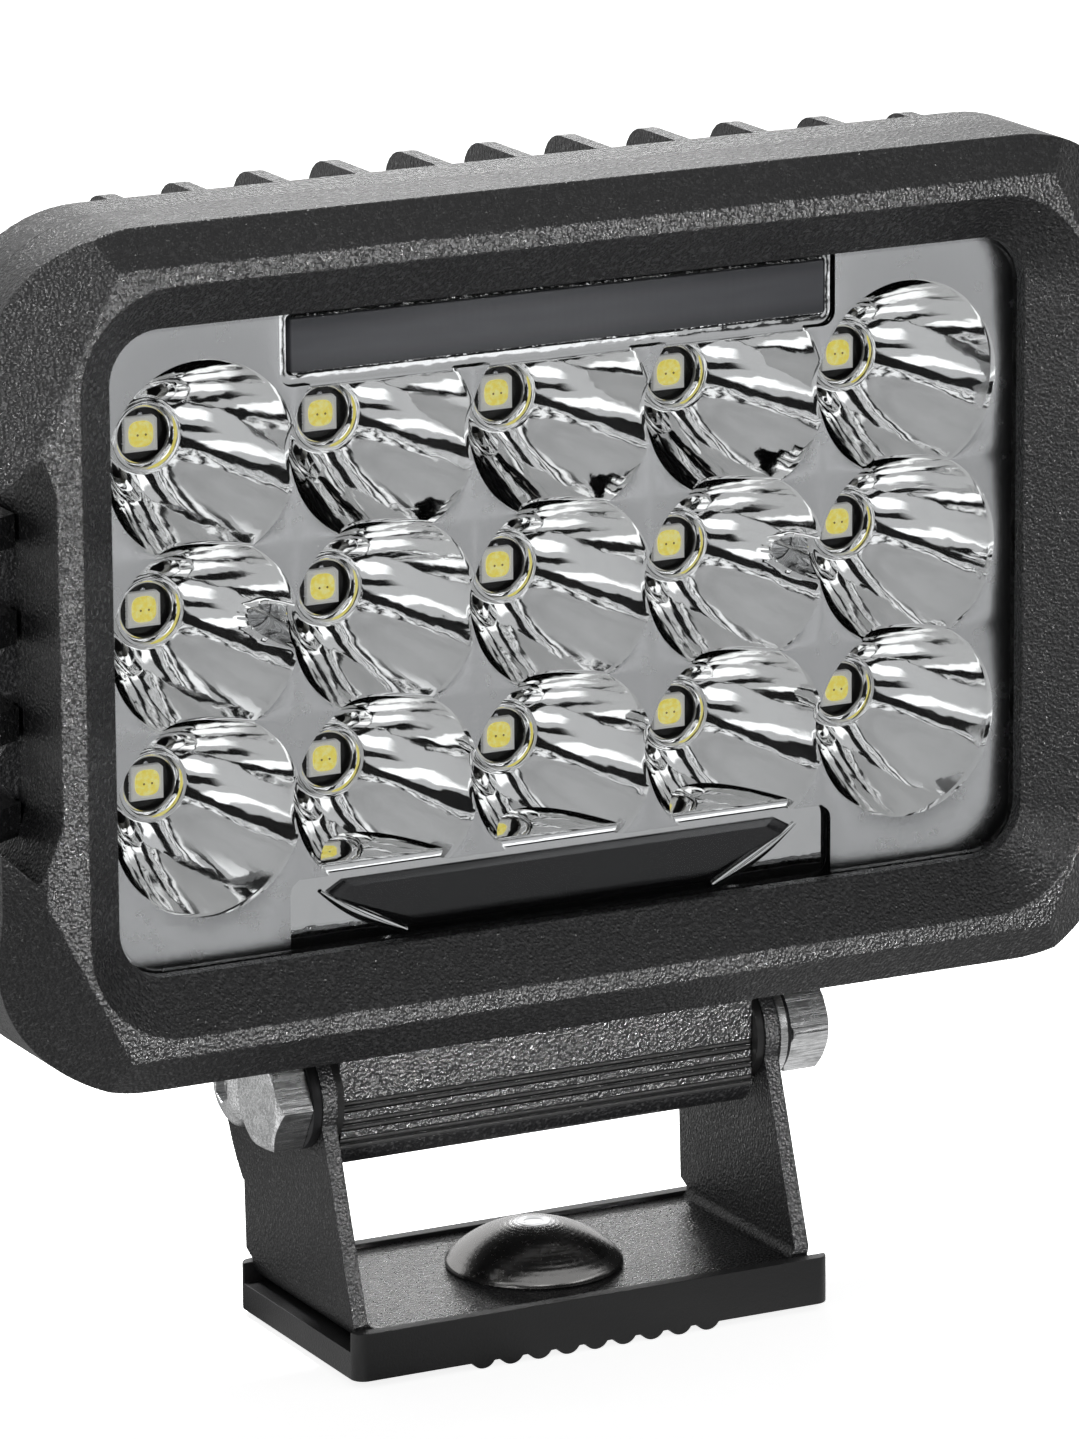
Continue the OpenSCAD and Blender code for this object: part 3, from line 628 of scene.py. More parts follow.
# painted light: the phosphor glows to look brighter in the cups
PHOSPHOR = PhosphorGel("phosphor_gel", (0.80, 0.68, 0.11), 0.5, glow=0.6)
BOND = Finish("bond_mark", (0.42, 0.34, 0.10), 0.5)
BOARD = Finish("board_mask", (0.009, 0.008, 0.007), 0.3)
SOLDER = Finish("solder", (0.7, 0.71, 0.73), 0.2, 1.0)
FERRITE = Finish("ferrite", (0.06, 0.06, 0.062), 0.5)
CAN = Finish("capacitor_can", (0.7, 0.7, 0.72), 0.25, 1.0)
WHITE_NYLON = Finish("white_nylon", (0.75, 0.73, 0.68), 0.45)
GAP_PAD = Finish("gap_pad", (0.45, 0.47, 0.5), 0.7)


# ---------------------------------------------------------------- mesh helpers


# Points that agree when counted in 1 / WELD millimetres are one point
WELD = 5000


class MeshMaker:
    """Collects welded points and faces, in millimetres, and makes one piece of them."""

    def __init__(self, name: str) -> None:
        """Starts an empty mesh.

        Args:
            name: the piece's name.
        """
        self.name = name
        self.points: list[Point] = []
        self.faces: list[tuple[tuple[int, ...], int]] = []
        self._index: dict[tuple[int, int, int], int] = {}

    def point(self, x: float, y: float, z: float) -> int:
        """The index of the point at a place, made if it is new.

        Args:
            x: place along X.
            y: place along Y.
            z: place along Z.

        Returns:
            Its index.
        """
        key = (round(x * WELD), round(y * WELD), round(z * WELD))
        if key not in self._index:
            self._index[key] = len(self.points)
            self.points.append((x, y, z))
        return self._index[key]

    def face(self, corners: Iterable[int], finish: int = 0) -> None:
        """Adds a face, leaving out repeated corners and faces without area.

        Args:
            corners: point indices in order.
            finish: index of its finish.
        """
        kept: list[int] = []
        for corner in corners:
            if corner not in kept:
                kept.append(corner)
        if len(kept) > 2:
            self.faces.append((tuple(kept), finish))

    def loft(self, rings: Sequence[Sequence[int]], closed: bool = True, finish: int = 0) -> None:
        """Joins rings of points, each to the next.

        Args:
            rings: rings with the same number of points.
            closed: whether each ring's last point joins its first.
            finish: index of the finish.
        """
        for low, high in zip(rings, rings[1:]):
            count = len(low) if closed else len(low) - 1
            for i in range(count):
                j = (i + 1) % len(low)
                self.face((low[i], low[j], high[j], high[i]), finish)

    def build(self, finishes: Sequence[Finish], round_mm: float = 0.0, limit: float = 30.0,
              smooth: float = 35.0) -> bpy.types.Object:
        """Makes the object.

        Args:
            finishes: the finishes that faces name.
            round_mm: width of the rounding on sharp edges.
            limit: edges turning by more than this many degrees are rounded.
            smooth: edges turning by more than this many degrees stay sharp to the light.

        Returns:
            The object.
        """
        mesh = bpy.data.meshes.new(self.name)
        work = bmesh.new()
        verts = [work.verts.new(tuple(c * MM for c in p)) for p in self.points]
        for corners, finish in self.faces:
            try:
                made = work.faces.new([verts[i] for i in corners])
            except ValueError:
                continue
            made.material_index = finish
            made.smooth = True
        loose = [v for v in work.verts if not v.link_faces]
        bmesh.ops.delete(work, geom=loose, context="VERTS")
        if round_mm:
            round_edges(work, round_mm, limit)
        work.to_mesh(mesh)
        work.free()
        return finish_object(self.name, mesh, finishes, smooth)


def finish_object(name: str, mesh: bpy.types.Mesh, finishes: Sequence[Finish],
                  smooth: float) -> bpy.types.Object:
    """Makes an object of a mesh, with its finishes and soft shading.

    Args:
        name: the piece's name.
        mesh: its mesh.
        finishes: its finishes, in slot order.
        smooth: edges turning by more than this many degrees stay sharp to the light.

    Returns:
        The object.
    """
    for finish in finishes:
        mesh.materials.append(finish.material())
    for polygon in mesh.polygons:
        polygon.use_smooth = True
    mesh.set_sharp_from_angle(angle=math.radians(smooth))
    piece = bpy.data.objects.new(name, mesh)
    bpy.context.scene.collection.objects.link(piece)
    return piece


def round_edges(work: bmesh.types.BMesh, width_mm: float, limit: float, segments: int = 2) -> int:
    """Rounds the sharp edges.

    Args:
        work: the mesh.
        width_mm: width of the rounding.
        limit: smallest turn, in degrees, that counts as sharp.
        segments: steps round an edge.

    Returns:
        How many edges were rounded.
    """
    sharp = [e for e in work.edges if len(e.link_faces) == 2
             and e.calc_face_angle(0.0) > math.radians(limit)]
    if sharp:
        bmesh.ops.bevel(work, geom=sharp, offset=width_mm * MM, offset_type="OFFSET", segments=segments,
                        profile=0.5, affect="EDGES", clamp_overlap=True)
    return len(sharp)


def disc_ring(maker: MeshMaker, radius: float, place: Callable[[float, float], Point],
              count: int) -> list[int]:
    """A ring of points.

    Args:
        maker: the mesh.
        radius: its radius.
        place: turns the two coordinates in the ring's plane into a point.
        count: number of points.

    Returns:
        Their indices.
    """
    turns = (2.0 * math.pi * i / count for i in range(count))
    return [maker.point(*place(radius * math.cos(a), radius * math.sin(a))) for a in turns]


# ---------------------------------------------------------------- pieces from the CAD model

# Points of a CAD mesh closer than this are one, and faces that turn by less than this are flat
JOIN_MM = 0.002
FLAT_DEGREES = 0.6


@dataclass(frozen=True)
class RoundedPart:
    """A CAD node shown as a copy of its mesh with rounded edges."""

    node: str
    body: Body
    slot: str
    finish: Finish
    width: float = 0.35
    limit: float = 28.0
    segments: int = 2
    second: Finish | None = None
    second_where: Callable[[Vector, Vector], bool] | None = None
    smooth: float = 40.0

    def build(self, frame: dict) -> bpy.types.Object:
        """Makes the copy.


        Returns:
            The piece.
        """
        work = bmesh.new()
        work.from_mesh(frame["nodes"][self.node].data)
        bmesh.ops.remove_doubles(work, verts=work.verts, dist=JOIN_MM * MM)
        bmesh.ops.dissolve_limit(work, angle_limit=math.radians(FLAT_DEGREES), verts=work.verts,
                                 edges=work.edges, use_dissolve_boundaries=False)
        rounded = round_edges(work, self.width, self.limit, self.segments)
        for face in work.faces if self.second_where else ():
            face.material_index = int(self.second_where(face.calc_center_median() / MM, face.normal))
        mesh = bpy.data.meshes.new(f"{self.node}_shell")
        work.to_mesh(mesh)
        work.free()
        mesh.materials.clear()
        finishes = [self.finish] + ([self.second] if self.second else [])
        piece = finish_object(f"{self.node}_shell", mesh, finishes, self.smooth)
        weigh = piece.modifiers.new("even_shading", "WEIGHTED_NORMAL")
        weigh.keep_sharp = True
        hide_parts(self.node)
        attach(piece, self.body.value)
        LOG.info("%s: %d edges rounded", piece.name, rounded)
        return piece


@dataclass(frozen=True)
class DressedNodes:
    """CAD nodes that are shown as they are, each with a finish."""

    finishes: dict[str, Finish]

    def build(self, frame: dict) -> None:
        """Gives each node its finish.
        """
        for node, finish in self.finishes.items():
            mesh = frame["nodes"][node].data
            mesh.materials.clear()
            mesh.materials.append(finish.material())
            LOG.info("%s: dressed in %s", node, finish.name)


def settle(piece: bpy.types.Object, body: Body, slot: str, *nodes: str) -> bpy.types.Object:
    """Lets a finished piece ride on its body and stand for CAD nodes.

    Args:
        piece: the piece.
        body: the body it rides on.
        slot: its material slot in the record; not used.
        nodes: CAD nodes that it stands for.

    Returns:
        The piece.
    """
    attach(piece, body.value)
    if nodes:
        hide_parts(*nodes)
    LOG.info("%s: %d faces, on %s", piece.name, len(piece.data.polygons), body.value)
    return piece


# ---------------------------------------------------------------- reflector


# Further than any edge of the reflector is from a cup's centre, in millimetres
FAR = 60.0


@dataclass(frozen=True)
class Opening:
    """A part of the reflector's front that another block fills, in head coordinates."""

    half: float
    edge: float
    side: int
    corner: float = 2.0

    def holds(self, x: float, z: float) -> bool:
        """Whether a point lies in it.

        Args:
            x: place along X.
            z: place along Z.

        Returns:
            True where it does.
        """
        over = self.side * (z - self.edge)
        if over <= 0 or abs(x) >= self.half:
            return False
        dx, dz = self.corner - (self.half - abs(x)), self.corner - over
        return dx <= 0 or dz <= 0 or math.hypot(dx, dz) < self.corner


@dataclass(frozen=True)
class MirrorBlock:
    """A block of the mirror with rounded front edges, in head coordinates. Millimetres.

    The front and the back are depths behind the front plane; rise is how much higher the top is at
    the back; the recess is a half width, a lower edge, an upper edge and a depth.
    """

    name: str
    half_w: float
    low: float
    high: float
    front: float
    back: float
    corner: float
    edge: float
    rise: float = 0.0
    recess: tuple[float, float, float, float] | None = None
    corner_steps: int = 6
    edge_steps: int = 5

    def ring(self, spread: tuple[float, float, float], radius: float,
             lift: float = 0.0) -> list[tuple[float, float]]:
        """A rounded rectangle.

        Args:
            spread: half width, lower edge and upper edge.
            radius: radius of its corners.
            lift: how much higher its top is.

        Returns:
            Points in head coordinates.
        """
        half_w, low, high = spread
        points = []
        for sx, sz, start in ((1, 1, 0), (-1, 1, 90), (-1, -1, 180), (1, -1, 270)):
            for k in range(self.corner_steps + 1):
                a = math.radians(start + 90 / self.corner_steps * k)
                points.append((sx * (half_w - radius) + radius * math.cos(a),
                               (high if sz > 0 else low) - sz * radius + radius * math.sin(a)
                               + (lift if sz > 0 else 0.0)))
        return points

    def build(self, head_z: float, front_y: float) -> bpy.types.Object:
        """Makes the block.

        Args:
            head_z: height of the head's middle.
            front_y: the front plane.

        Returns:
            The piece.
        """
        maker = MeshMaker(self.name)
        stack = [(self.back, self.ring((self.half_w, self.low, self.high), self.corner, self.rise))]
        for k in range(self.edge_steps + 1):
            a = math.radians(90 / self.edge_steps * k)
            inset, back = self.edge * (1 - math.cos(a)), self.edge * (1 - math.sin(a))
            spread = (self.half_w - inset, self.low + inset, self.high - inset)
            lift = self.rise * back / (self.back - self.front)
            stack.append((self.front + back, self.ring(spread, self.corner - inset, lift)))
        if self.recess is not None:
            half_w, low, high, deep = self.recess
            rounded = (half_w + 0.15, low - 0.15, high + 0.15)
            stack.append((self.front + 0.02, self.ring(rounded, 0.85)))
            stack.append((self.front + 0.25, self.ring((half_w, low, high), 0.6)))
            stack.append((self.front + deep, self.ring((half_w, low, high), 0.6)))
        rings = [[maker.point(x, front_y + depth, head_z + z) for x, z in ring] for depth, ring in stack]
        maker.loft(rings)
        maker.face(list(reversed(rings[-1])))
        return settle(maker.build([MIRROR], smooth=50.0), Body.HEAD, "chrome_plating")


# How far the nameplate's plinth stands behind the front plane, in millimetres
PLINTH_Y = 1.45
PLINTH = MirrorBlock("nameplate_plinth", 43.7, -47.3, -34.9, PLINTH_Y, 19.0, 3.0, 1.1, rise=1.3)
POD_FRAME = MirrorBlock("position_light_frame", 44.2, 33.3, 47.2, 0.7, 10.7, 3.2, 0.9,
                        recess=(42.0, 35.7, 44.0, 3.4))


@dataclass
class CupReflector:
    """The mirror with its cups, collars, frame of the position light and plinth. Millimetres."""

    head_z: float
    front_y: float
    columns: int = 5
    rows: int = 3
    pitch_x: float = 27.6
    pitch_z: float = 25.0
    rim: float = 14.4
    hole: float = 4.75
    depth: float = 19.0
    base: float = 1.2
    half_w: float = 72.4
    half_h: float = 47.9
    corner: float = 9.0
    spokes: int = 216
    rings: int = 22
    pocket_x: float = 41.4
    pocket_r: float = 2.95
    pocket_d: float = 16.0
    pod: Opening = Opening(43.4, 34.1, 1)
    plinth: Opening = Opening(42.9, -36.0, -1)

    def centres(self) -> list[tuple[float, float]]:
        """Centres of the cups in head coordinates."""
        return [((i - (self.columns - 1) / 2) * self.pitch_x, (j - (self.rows - 1) / 2) * self.pitch_z)
                for i in range(self.columns) for j in range(self.rows)]

    def depth_at(self, radius: float) -> float:
        """Depth of a cup's paraboloid behind the front plane."""
        return self.depth * (self.rim ** 2 - radius ** 2) / (self.rim ** 2 - self.hole ** 2)

    def on_sheet(self, x: float, z: float) -> bool:
        """Whether a point lies on the mirror sheet.

        Args:
            x: place along X in head coordinates.
            z: place along Z in head coordinates.

        Returns:
            True where it does.
        """
        dx = abs(x) - (self.half_w - self.corner)
        dz = abs(z) - (self.half_h - self.corner)
        if max(dx, dz) > self.corner or (dx > 0 and dz > 0 and math.hypot(dx, dz) > self.corner):
            return False
        return not (self.pod.holds(x, z) or self.plinth.holds(x, z))

    def reach(self, centre: tuple[float, float], angle: float) -> float:
        """How far a cup's share of the sheet goes from its centre in one direction.

        Args:
            centre: the cup's centre.
            angle: the direction.

        Returns:
            The distance.
        """
        ux, uz = math.cos(angle), math.sin(angle)
        limit = FAR
        for place, way, pitch, count in ((centre[0], ux, self.pitch_x, self.columns),
                                         (centre[1], uz, self.pitch_z, self.rows)):
            last = (count - 1) / 2 * pitch
            if abs(place + math.copysign(1, way) * pitch) <= last + 0.1 and abs(way) > 1e-9:
                limit = min(limit, pitch / 2 / abs(way))
        if self.on_sheet(centre[0] + limit * ux, centre[1] + limit * uz):
            return limit
        low, high = self.hole, limit
        for _ in range(30):
            middle = (low + high) / 2
            if self.on_sheet(centre[0] + middle * ux, centre[1] + middle * uz):
                low = middle
            else:
                high = middle
        return low

    def pocketed(self, x: float, z: float, depth: float) -> tuple[float, float, float]:
        """Sinks a point that lies in one of the two screw pockets to the screw's seat.

        Args:
            x: place along X in head coordinates.
            z: place along Z in head coordinates.
            depth: depth behind the front plane.

        Returns:
            The place and depth to use.
        """
        middle = math.copysign(self.pocket_x, x)
        away = math.hypot(x - middle, z)
        if away >= 1.18 * self.pocket_r or away < 1e-6 or depth > self.pocket_d:
            return x, z, depth
        edge = self.pocket_r / away
        if away > self.pocket_r:
            return middle + (x - middle) * edge, z * edge, depth
        if away > 0.8 * self.pocket_r:
            return middle + (x - middle) * edge * 0.97, z * edge * 0.97, self.pocket_d
        return x, z, self.pocket_d

    def angles(self) -> list[float]:
        """Directions of the spokes: evenly spread, and through each kind of corner.

        Returns:
            Angles in order.
        """
        found = {round(2 * math.pi * i / self.spokes, 7) for i in range(self.spokes)}
        half_x, half_z = self.pitch_x / 2, self.pitch_z / 2
        special = [math.atan2(half_z, half_x), math.acos(half_x / self.rim), math.asin(half_z / self.rim)]
        for s in special:
            for a in (s, math.pi - s, math.pi + s, 2 * math.pi - s):
                near = min(found, key=lambda f: abs(f - a))
                found.discard(near)
                found.add(round(a, 7))
        return sorted(found)

    def cup(self, maker: MeshMaker, centre: tuple[float, float]) -> None:
        """Adds one cup with its share of the flat front and the collar round its light source.

        Args:
            maker: the mesh.
            centre: the cup's centre in head coordinates.
        """
        cx, cz = centre
        lip = self.hole + 0.25
        top = self.depth_at(lip)
        hole = self.hole
        steps = [(lip, top), (lip - 0.03, top - 0.45), (hole - 0.12, top - 0.5), (hole - 0.3, top + 0.25),
                 (hole - 0.42, top + 0.3), (hole - 0.8, top + 0.75), (hole - 0.85, self.depth + self.base)]
        spokes: list[list[int]] = []
        flats: list[list[int]] = []
        for angle in self.angles():
            ux, uz = math.cos(angle), math.sin(angle)
            reach = self.reach(centre, angle)
            edge = min(self.rim, reach)

            def put(radius: float, depth: float) -> int:
                """A point of this spoke."""
                x, z, depth = self.pocketed(cx + radius * ux, cz + radius * uz, depth)
                return maker.point(x, self.front_y + depth, self.head_z + z)

            spoke = [put(r, d) for r, d in reversed(steps)]
            for k in range(1, self.rings + 1):
                share = k / self.rings
                radius = lip + (edge - lip) * (share + 0.25 * share * (1 - share))
                spoke.append(put(radius, max(0.0, self.depth_at(radius))))
            spokes.append(spoke)
            flats.append([spoke[-1], put(reach, 0.0) if reach > self.rim + 1e-3 else spoke[-1]])
        spokes.append(spokes[0])
        flats.append(flats[0])
        for here, there in zip(spokes, spokes[1:]):
            for k in range(len(here) - 1):
                maker.face((here[k], here[k + 1], there[k + 1], there[k]), 1 if k == 0 else 0)
        for here, there in zip(flats, flats[1:]):
            maker.face((here[0], here[1], there[1], there[0]), 1)

    def build_sheet(self) -> bpy.types.Object:
        """The mirror sheet: all cups, islands and collars.

        Returns:
            The piece.
        """
        maker = MeshMaker("cup_mirror")
        for centre in self.centres():
            self.cup(maker, centre)
        piece = maker.build([MIRROR, SATIN], round_mm=0.26, limit=24.0, smooth=50.0)
        return settle(piece, Body.HEAD, "chrome_plating", "reflector")

    def build(self) -> None:
        """Makes the sheet, the position light's frame and the plinth."""
        self.build_sheet()
        for block in (POD_FRAME, PLINTH):
            block.build(self.head_z, self.front_y)


@dataclass
class PositionLight:
    """The dark light guide with rows of small prisms along its edges. Millimetres."""

    head_z: float
    front_y: float
    half_w: float = 41.7
    half_h: float = 3.85
    middle: float = 39.85

    def build(self) -> None:
        """Makes the guide's prisms."""
        maker = MeshMaker("position_light_prisms")
        chance = random.Random(11)
        for edge in (-1, 1):
            x = -self.half_w + 0.3
            while x < self.half_w - 0.3:
                size = chance.uniform(0.16, 0.36)
                x += size * chance.uniform(1.0, 2.4)
                z = self.middle + edge * (self.half_h + 0.02 + chance.uniform(-0.06, 0.1))
                y = self.front_y + chance.uniform(0.4, 0.75)
                self.chip(maker, (x, y, self.head_z + z), size, chance)
        piece = maker.build([MIRROR], smooth=20.0)
        settle(piece, Body.HEAD, "chrome_plating")

    @staticmethod
    def chip(maker: MeshMaker, place: Point, size: float, chance: random.Random) -> None:
        """Adds one uneven prism.

        Args:
            maker: the mesh.
            place: its place.
            size: its half length.
            chance: source of its unevenness.
        """
        def jog(share: float = 0.3) -> float:
            """A small uneven step."""
            return size * chance.uniform(-share, share)

        x, y, z = place
        tip = maker.point(x + jog(), y - size * 0.8, z + jog())
        base = [maker.point(x + sx * size + jog(), y + size * 0.5, z + sz * size * 0.6 + jog(0.2))
                for sx, sz in ((-1, -1), (1, -1), (1, 1), (-1, 1))]
        for i in range(4):
            maker.face((base[i], base[(i + 1) % 4], tip))
        maker.face(list(reversed(base)))


@dataclass
class Nameplate:
    """The blank six-sided plate, with a bevel all round and a bright end. Millimetres."""

    head_z: float
    front_y: float
    top: float = -37.1
    half_w: float = 36.8
    height: float = 8.2
    slant: float = 12.4
    shoulder: float = 1.4

    def outline(self, inset: float) -> list[tuple[float, float]]:
        """Corners of the outline, moved inwards.

        Args:
            inset: distance inwards.

        Returns:
            Corners in head coordinates.
        """
        half, low = self.half_w, self.top - self.height
        corners = [(half - 2.5, self.top), (-half + 2.5, self.top), (-half, self.top - self.shoulder),
                   (-half + self.slant, low), (half - self.slant, low), (half, self.top - self.shoulder)]
        middle = self.top - self.height / 2
        return [(x - math.copysign(1, x) * inset * 1.5, z - (1 if z > middle else -1) * inset)
                for x, z in corners]

    def build(self) -> None:
        """Makes the plate and the bright trims beside its lower ends."""
        maker = MeshMaker("blank_nameplate")
        rings = []
        back = self.front_y + PLINTH_Y
        for inset, y in ((0.0, back + 1.0), (0.0, back - 0.15), (0.12, back - 0.3), (1.05, back - 0.75),
                         (1.2, back - 0.75)):
            rings.append([maker.point(x, y, self.head_z + z) for x, z in self.outline(inset)])
        maker.loft(rings)
        maker.face(list(reversed(rings[-1])))
        piece = maker.build([GLOSS_BLACK], round_mm=0.08, limit=12.0, smooth=25.0)
        settle(piece, Body.HEAD, "gloss_black", "nameplate")
        for side, name in ((1, "nameplate_trim_right"), (-1, "nameplate_trim_left")):
            self.trim(name, side)

    def trim(self, name: str, side: int) -> None:
        """A bright curved trim along the plate's slanting end.

        Args:
            name: the piece's name.
            side: 1 on the right, -1 on the left.
        """
        maker = MeshMaker(name)
        start = Vector((self.half_w - self.slant, self.top - self.height - 0.5))
        end = Vector((self.half_w + 0.9, self.top - 1.3))
        rings = []
        steps, across = 16, 7
        back = self.front_y + PLINTH_Y
        for k in range(steps + 1):
            share = k / steps
            middle = start.lerp(end, share) + Vector((0.35, -0.9)) * math.sin(math.pi * share) * 0.6
            wide = 0.12 + 0.85 * math.sin(math.pi * (0.12 + 0.8 * share))
            ring = []
            for a in range(across + 1):
                turn = math.pi * a / across
                off = wide * math.cos(turn)
                ring.append(maker.point(side * (middle.x + off * 0.75), back - 0.6 * math.sin(turn) + 0.1,
                                        self.head_z + middle.y - off * 0.65))
            rings.append(ring if side > 0 else list(reversed(ring)))
        maker.loft(rings, closed=False)
        piece = maker.build([MIRROR], smooth=60.0)
        settle(piece, Body.HEAD, "chrome_plating")


@dataclass
class LightSourceDetails:
    """Solder, bond marks and package rims of the light sources. Millimetres."""

    reflector: CupReflector
    top_y: float
    package_side: float = 5.0

    def build(self) -> None:
        """Makes the small parts on every light source."""
        metal = MeshMaker("light_source_solder")
        marks = MeshMaker("light_source_bond_marks")
        gel = MeshMaker("phosphor_domes")
        boxes = MeshMaker("light_source_packages")
        chance = random.Random(5)
        for cx, cz in self.reflector.centres():
            z0 = self.reflector.head_z + cz
            self.bead(metal, (cx + chance.uniform(-0.2, 0.2), self.top_y + 0.55, z0 + 2.75), 0.42)
            for side in (-1, 1):
                for k in (-1, 0, 1):
                    self.bead(metal, (cx + side * 2.45, self.top_y + 0.65, z0 + 1.3 * k), 0.3)
            for x in (cx - 0.62, cx + 0.62):
                ring = disc_ring(marks, 0.17, lambda a, b, x=x: (x + a, self.top_y - 0.3, z0 + b - 0.1), 10)
                marks.face(list(reversed(ring)))
            self.dome(gel, cx, z0)
            self.package(boxes, cx, z0)
        settle(boxes.build([CERAMIC], smooth=30.0), Body.HEAD, "led_ceramic", "led_packages")
        settle(gel.build([PHOSPHOR], smooth=60.0), Body.HEAD, "phosphor", "led_phosphors")
        settle(metal.build([SOLDER]), Body.HEAD, "zinc_steel")
        settle(marks.build([BOND]), Body.HEAD, "phosphor")

    def package(self, maker: MeshMaker, x: float, z: float) -> None:
        """The square package of one light source, with a raised border and a small key notch.

        Args:
            maker: the mesh.
            x: its middle along X.
            z: its middle along Z.
        """
        half = self.package_side / 2
        rings = []
        for inset, y in ((0.0, 0.8), (0.0, 0.06), (0.06, 0.0), (0.38, 0.0), (0.44, 0.09)):
            side, cut = half - inset, 0.5 if inset < 0.1 else 0.3
            corners = ((-side, -side), (side, -side), (side, side - cut), (side - cut, side), (-side, side))
            rings.append([maker.point(x + a, self.top_y + y - 0.02, z + b) for a, b in corners])
        maker.loft(rings)
        maker.face(list(reversed(rings[-1])))

    def dome(self, maker: MeshMaker, x: float, z: float) -> None:
        """The rounded phosphor of one light source.

        Args:
            maker: the mesh.
            x: its middle along X.
            z: its middle along Z.
        """
        rings = []
        count = 40
        outline = ((1.84, -0.1), (1.84, 0.1), (1.74, 0.2), (1.45, 0.25), (0.6, 0.28), (0.1, 0.28))
        for radius, rise in outline:
            ring = []
            for k in range(count):
                a = 2 * math.pi * k / count
                square = 1.0 / (abs(math.cos(a)) ** 3 + abs(math.sin(a)) ** 3) ** (1 / 3)
                ring.append(maker.point(x + radius * square * math.cos(a), self.top_y - rise,
                                        z + radius * square * math.sin(a)))
            rings.append(ring)
        maker.loft(rings)
        maker.face(list(reversed(rings[-1])))

    @staticmethod
    def bead(maker: MeshMaker, place: Point, radius: float) -> None:
        """A flattened bead facing forwards.

        Args:
            maker: the mesh.
            place: its place.
            radius: its radius.
        """
        x, y, z = place
        rings = []
        for k in range(4):
            a = math.radians(28 * k)
            rings.append(disc_ring(maker, radius * math.cos(a),
                                   lambda p, q, a=a: (x + p, y - 0.7 * radius * math.sin(a), z + q), 12))
        maker.loft(rings)
        maker.face(list(reversed(rings[-1])))


# ---------------------------------------------------------------- tilt joint and base


@dataclass(frozen=True)
class SplitWasher:
    """A spring lock washer on the tilt axis, with its split. Millimetres."""

    name: str
    node: str
    x0: float
    x1: float
    inner: float
    outer: float
    axis: tuple[float, float] = TILT_AXIS
    steps: int = 72
    split_at: float = -60.0
    half_gap: float = 7.0

    def build(self) -> None:
        """Makes the washer."""
        maker = MeshMaker(self.name)
        rings = []
        gap = math.radians(self.half_gap)
        section = ((self.inner, self.x0), (self.outer, self.x0),
                   (self.outer, self.x1), (self.inner, self.x1))
        for k in range(self.steps + 1):
            a = math.radians(self.split_at) + gap + (2 * math.pi - 2 * gap) * (k / self.steps)
            rings.append([maker.point(x, self.axis[0] + r * math.cos(a), self.axis[1] + r * math.sin(a))
                          for r, x in section])
        maker.loft(rings)
        maker.face(list(reversed(rings[0])))
        maker.face(rings[-1])
        piece = maker.build([OXIDE], round_mm=0.12, limit=50.0, smooth=30.0)
        settle(piece, Body.BASE, "black_steel_screw", self.node)


@dataclass
class MountingBolt:
    """Cup-headed bolt in the foot, turned about the Z axis. Millimetres."""

    foot_top: float = 7.3
    head_r: float = 12.85
    rim: float = 1.0
    dome: float = 5.5
    shank_r: float = 4.5
    thread_r: float = 5.0
    thread_pitch: float = 1.0
    end_z: float = -5.0

    def profile(self) -> list[tuple[float, float]]:
        """The bolt's outline from the crown down to the thread's end.

        Returns:
            Radii and heights.
        """
        ball = (self.head_r ** 2 + self.dome ** 2) / (2 * self.dome)
        centre = self.foot_top + self.rim + self.dome - ball
        top = self.foot_top + self.rim + self.dome
        points = [(0.9, top - 0.3), (1.5, top - 0.28), (2.1, top - 0.12)]
        r = 2.5
        while r < self.head_r - 0.5:
            points.append((r, centre + math.sqrt(ball ** 2 - r ** 2)))
            r += 0.55
        rim_top = self.foot_top + self.rim
        points += [(self.head_r - 0.35, rim_top + 0.16), (self.head_r - 0.08, rim_top - 0.15),
                   (self.head_r, rim_top - 0.4), (self.head_r, self.foot_top + 0.25),
                   (self.head_r - 0.25, self.foot_top), (self.shank_r, self.foot_top), (self.shank_r, 0.4)]
        z = 0.0
        while z > self.end_z + 0.9:
            points += [(self.thread_r, z), (self.thread_r - 0.55, z - self.thread_pitch / 2)]
            z -= self.thread_pitch
        points += [(self.thread_r, self.end_z + 0.6), (self.thread_r - 0.6, self.end_z)]
        return points

    def build(self) -> None:
        """Makes the bolt."""
        maker = MeshMaker("cup_head_bolt")
        rings = [disc_ring(maker, r, lambda a, b, z=z: (a, b, z), 96) for r, z in self.profile()]
        maker.loft(list(reversed(rings)))
        maker.face(rings[0])
        maker.face(list(reversed(rings[-1])))
        piece = maker.build([DOME], smooth=32.0)
        settle(piece, Body.BASE, "dark_nickel", "mounting_bolt")


# ---------------------------------------------------------------- studio


@dataclass(frozen=True)
class Panel:
    """A soft studio light: a rectangle that shines one way."""

    name: str
    place: Point
    aim: Point
    size: tuple[float, float]
    watts: float
    only: tuple[str, ...] = ()

    def build(self) -> None:
        """Makes the light, which shines on the named pieces alone where there are any."""
        data = bpy.data.lights.new(self.name, "AREA")
        data.shape = "RECTANGLE"
        data.size, data.size_y = self.size
        data.energy = self.watts
        lamp = bpy.data.objects.new(self.name, data)
        lamp.visible_camera = False
        lamp.location = self.place
        lamp.rotation_euler = (Vector(self.aim) - Vector(self.place)).to_track_quat("-Z", "Y").to_euler()
        bpy.context.scene.collection.objects.link(lamp)
        if self.only:
            lit = bpy.data.collections.new(f"{self.name}_pieces")
            for name in self.only:
                lit.objects.link(bpy.data.objects[name])
            lamp.light_linking.receiver_collection = lit


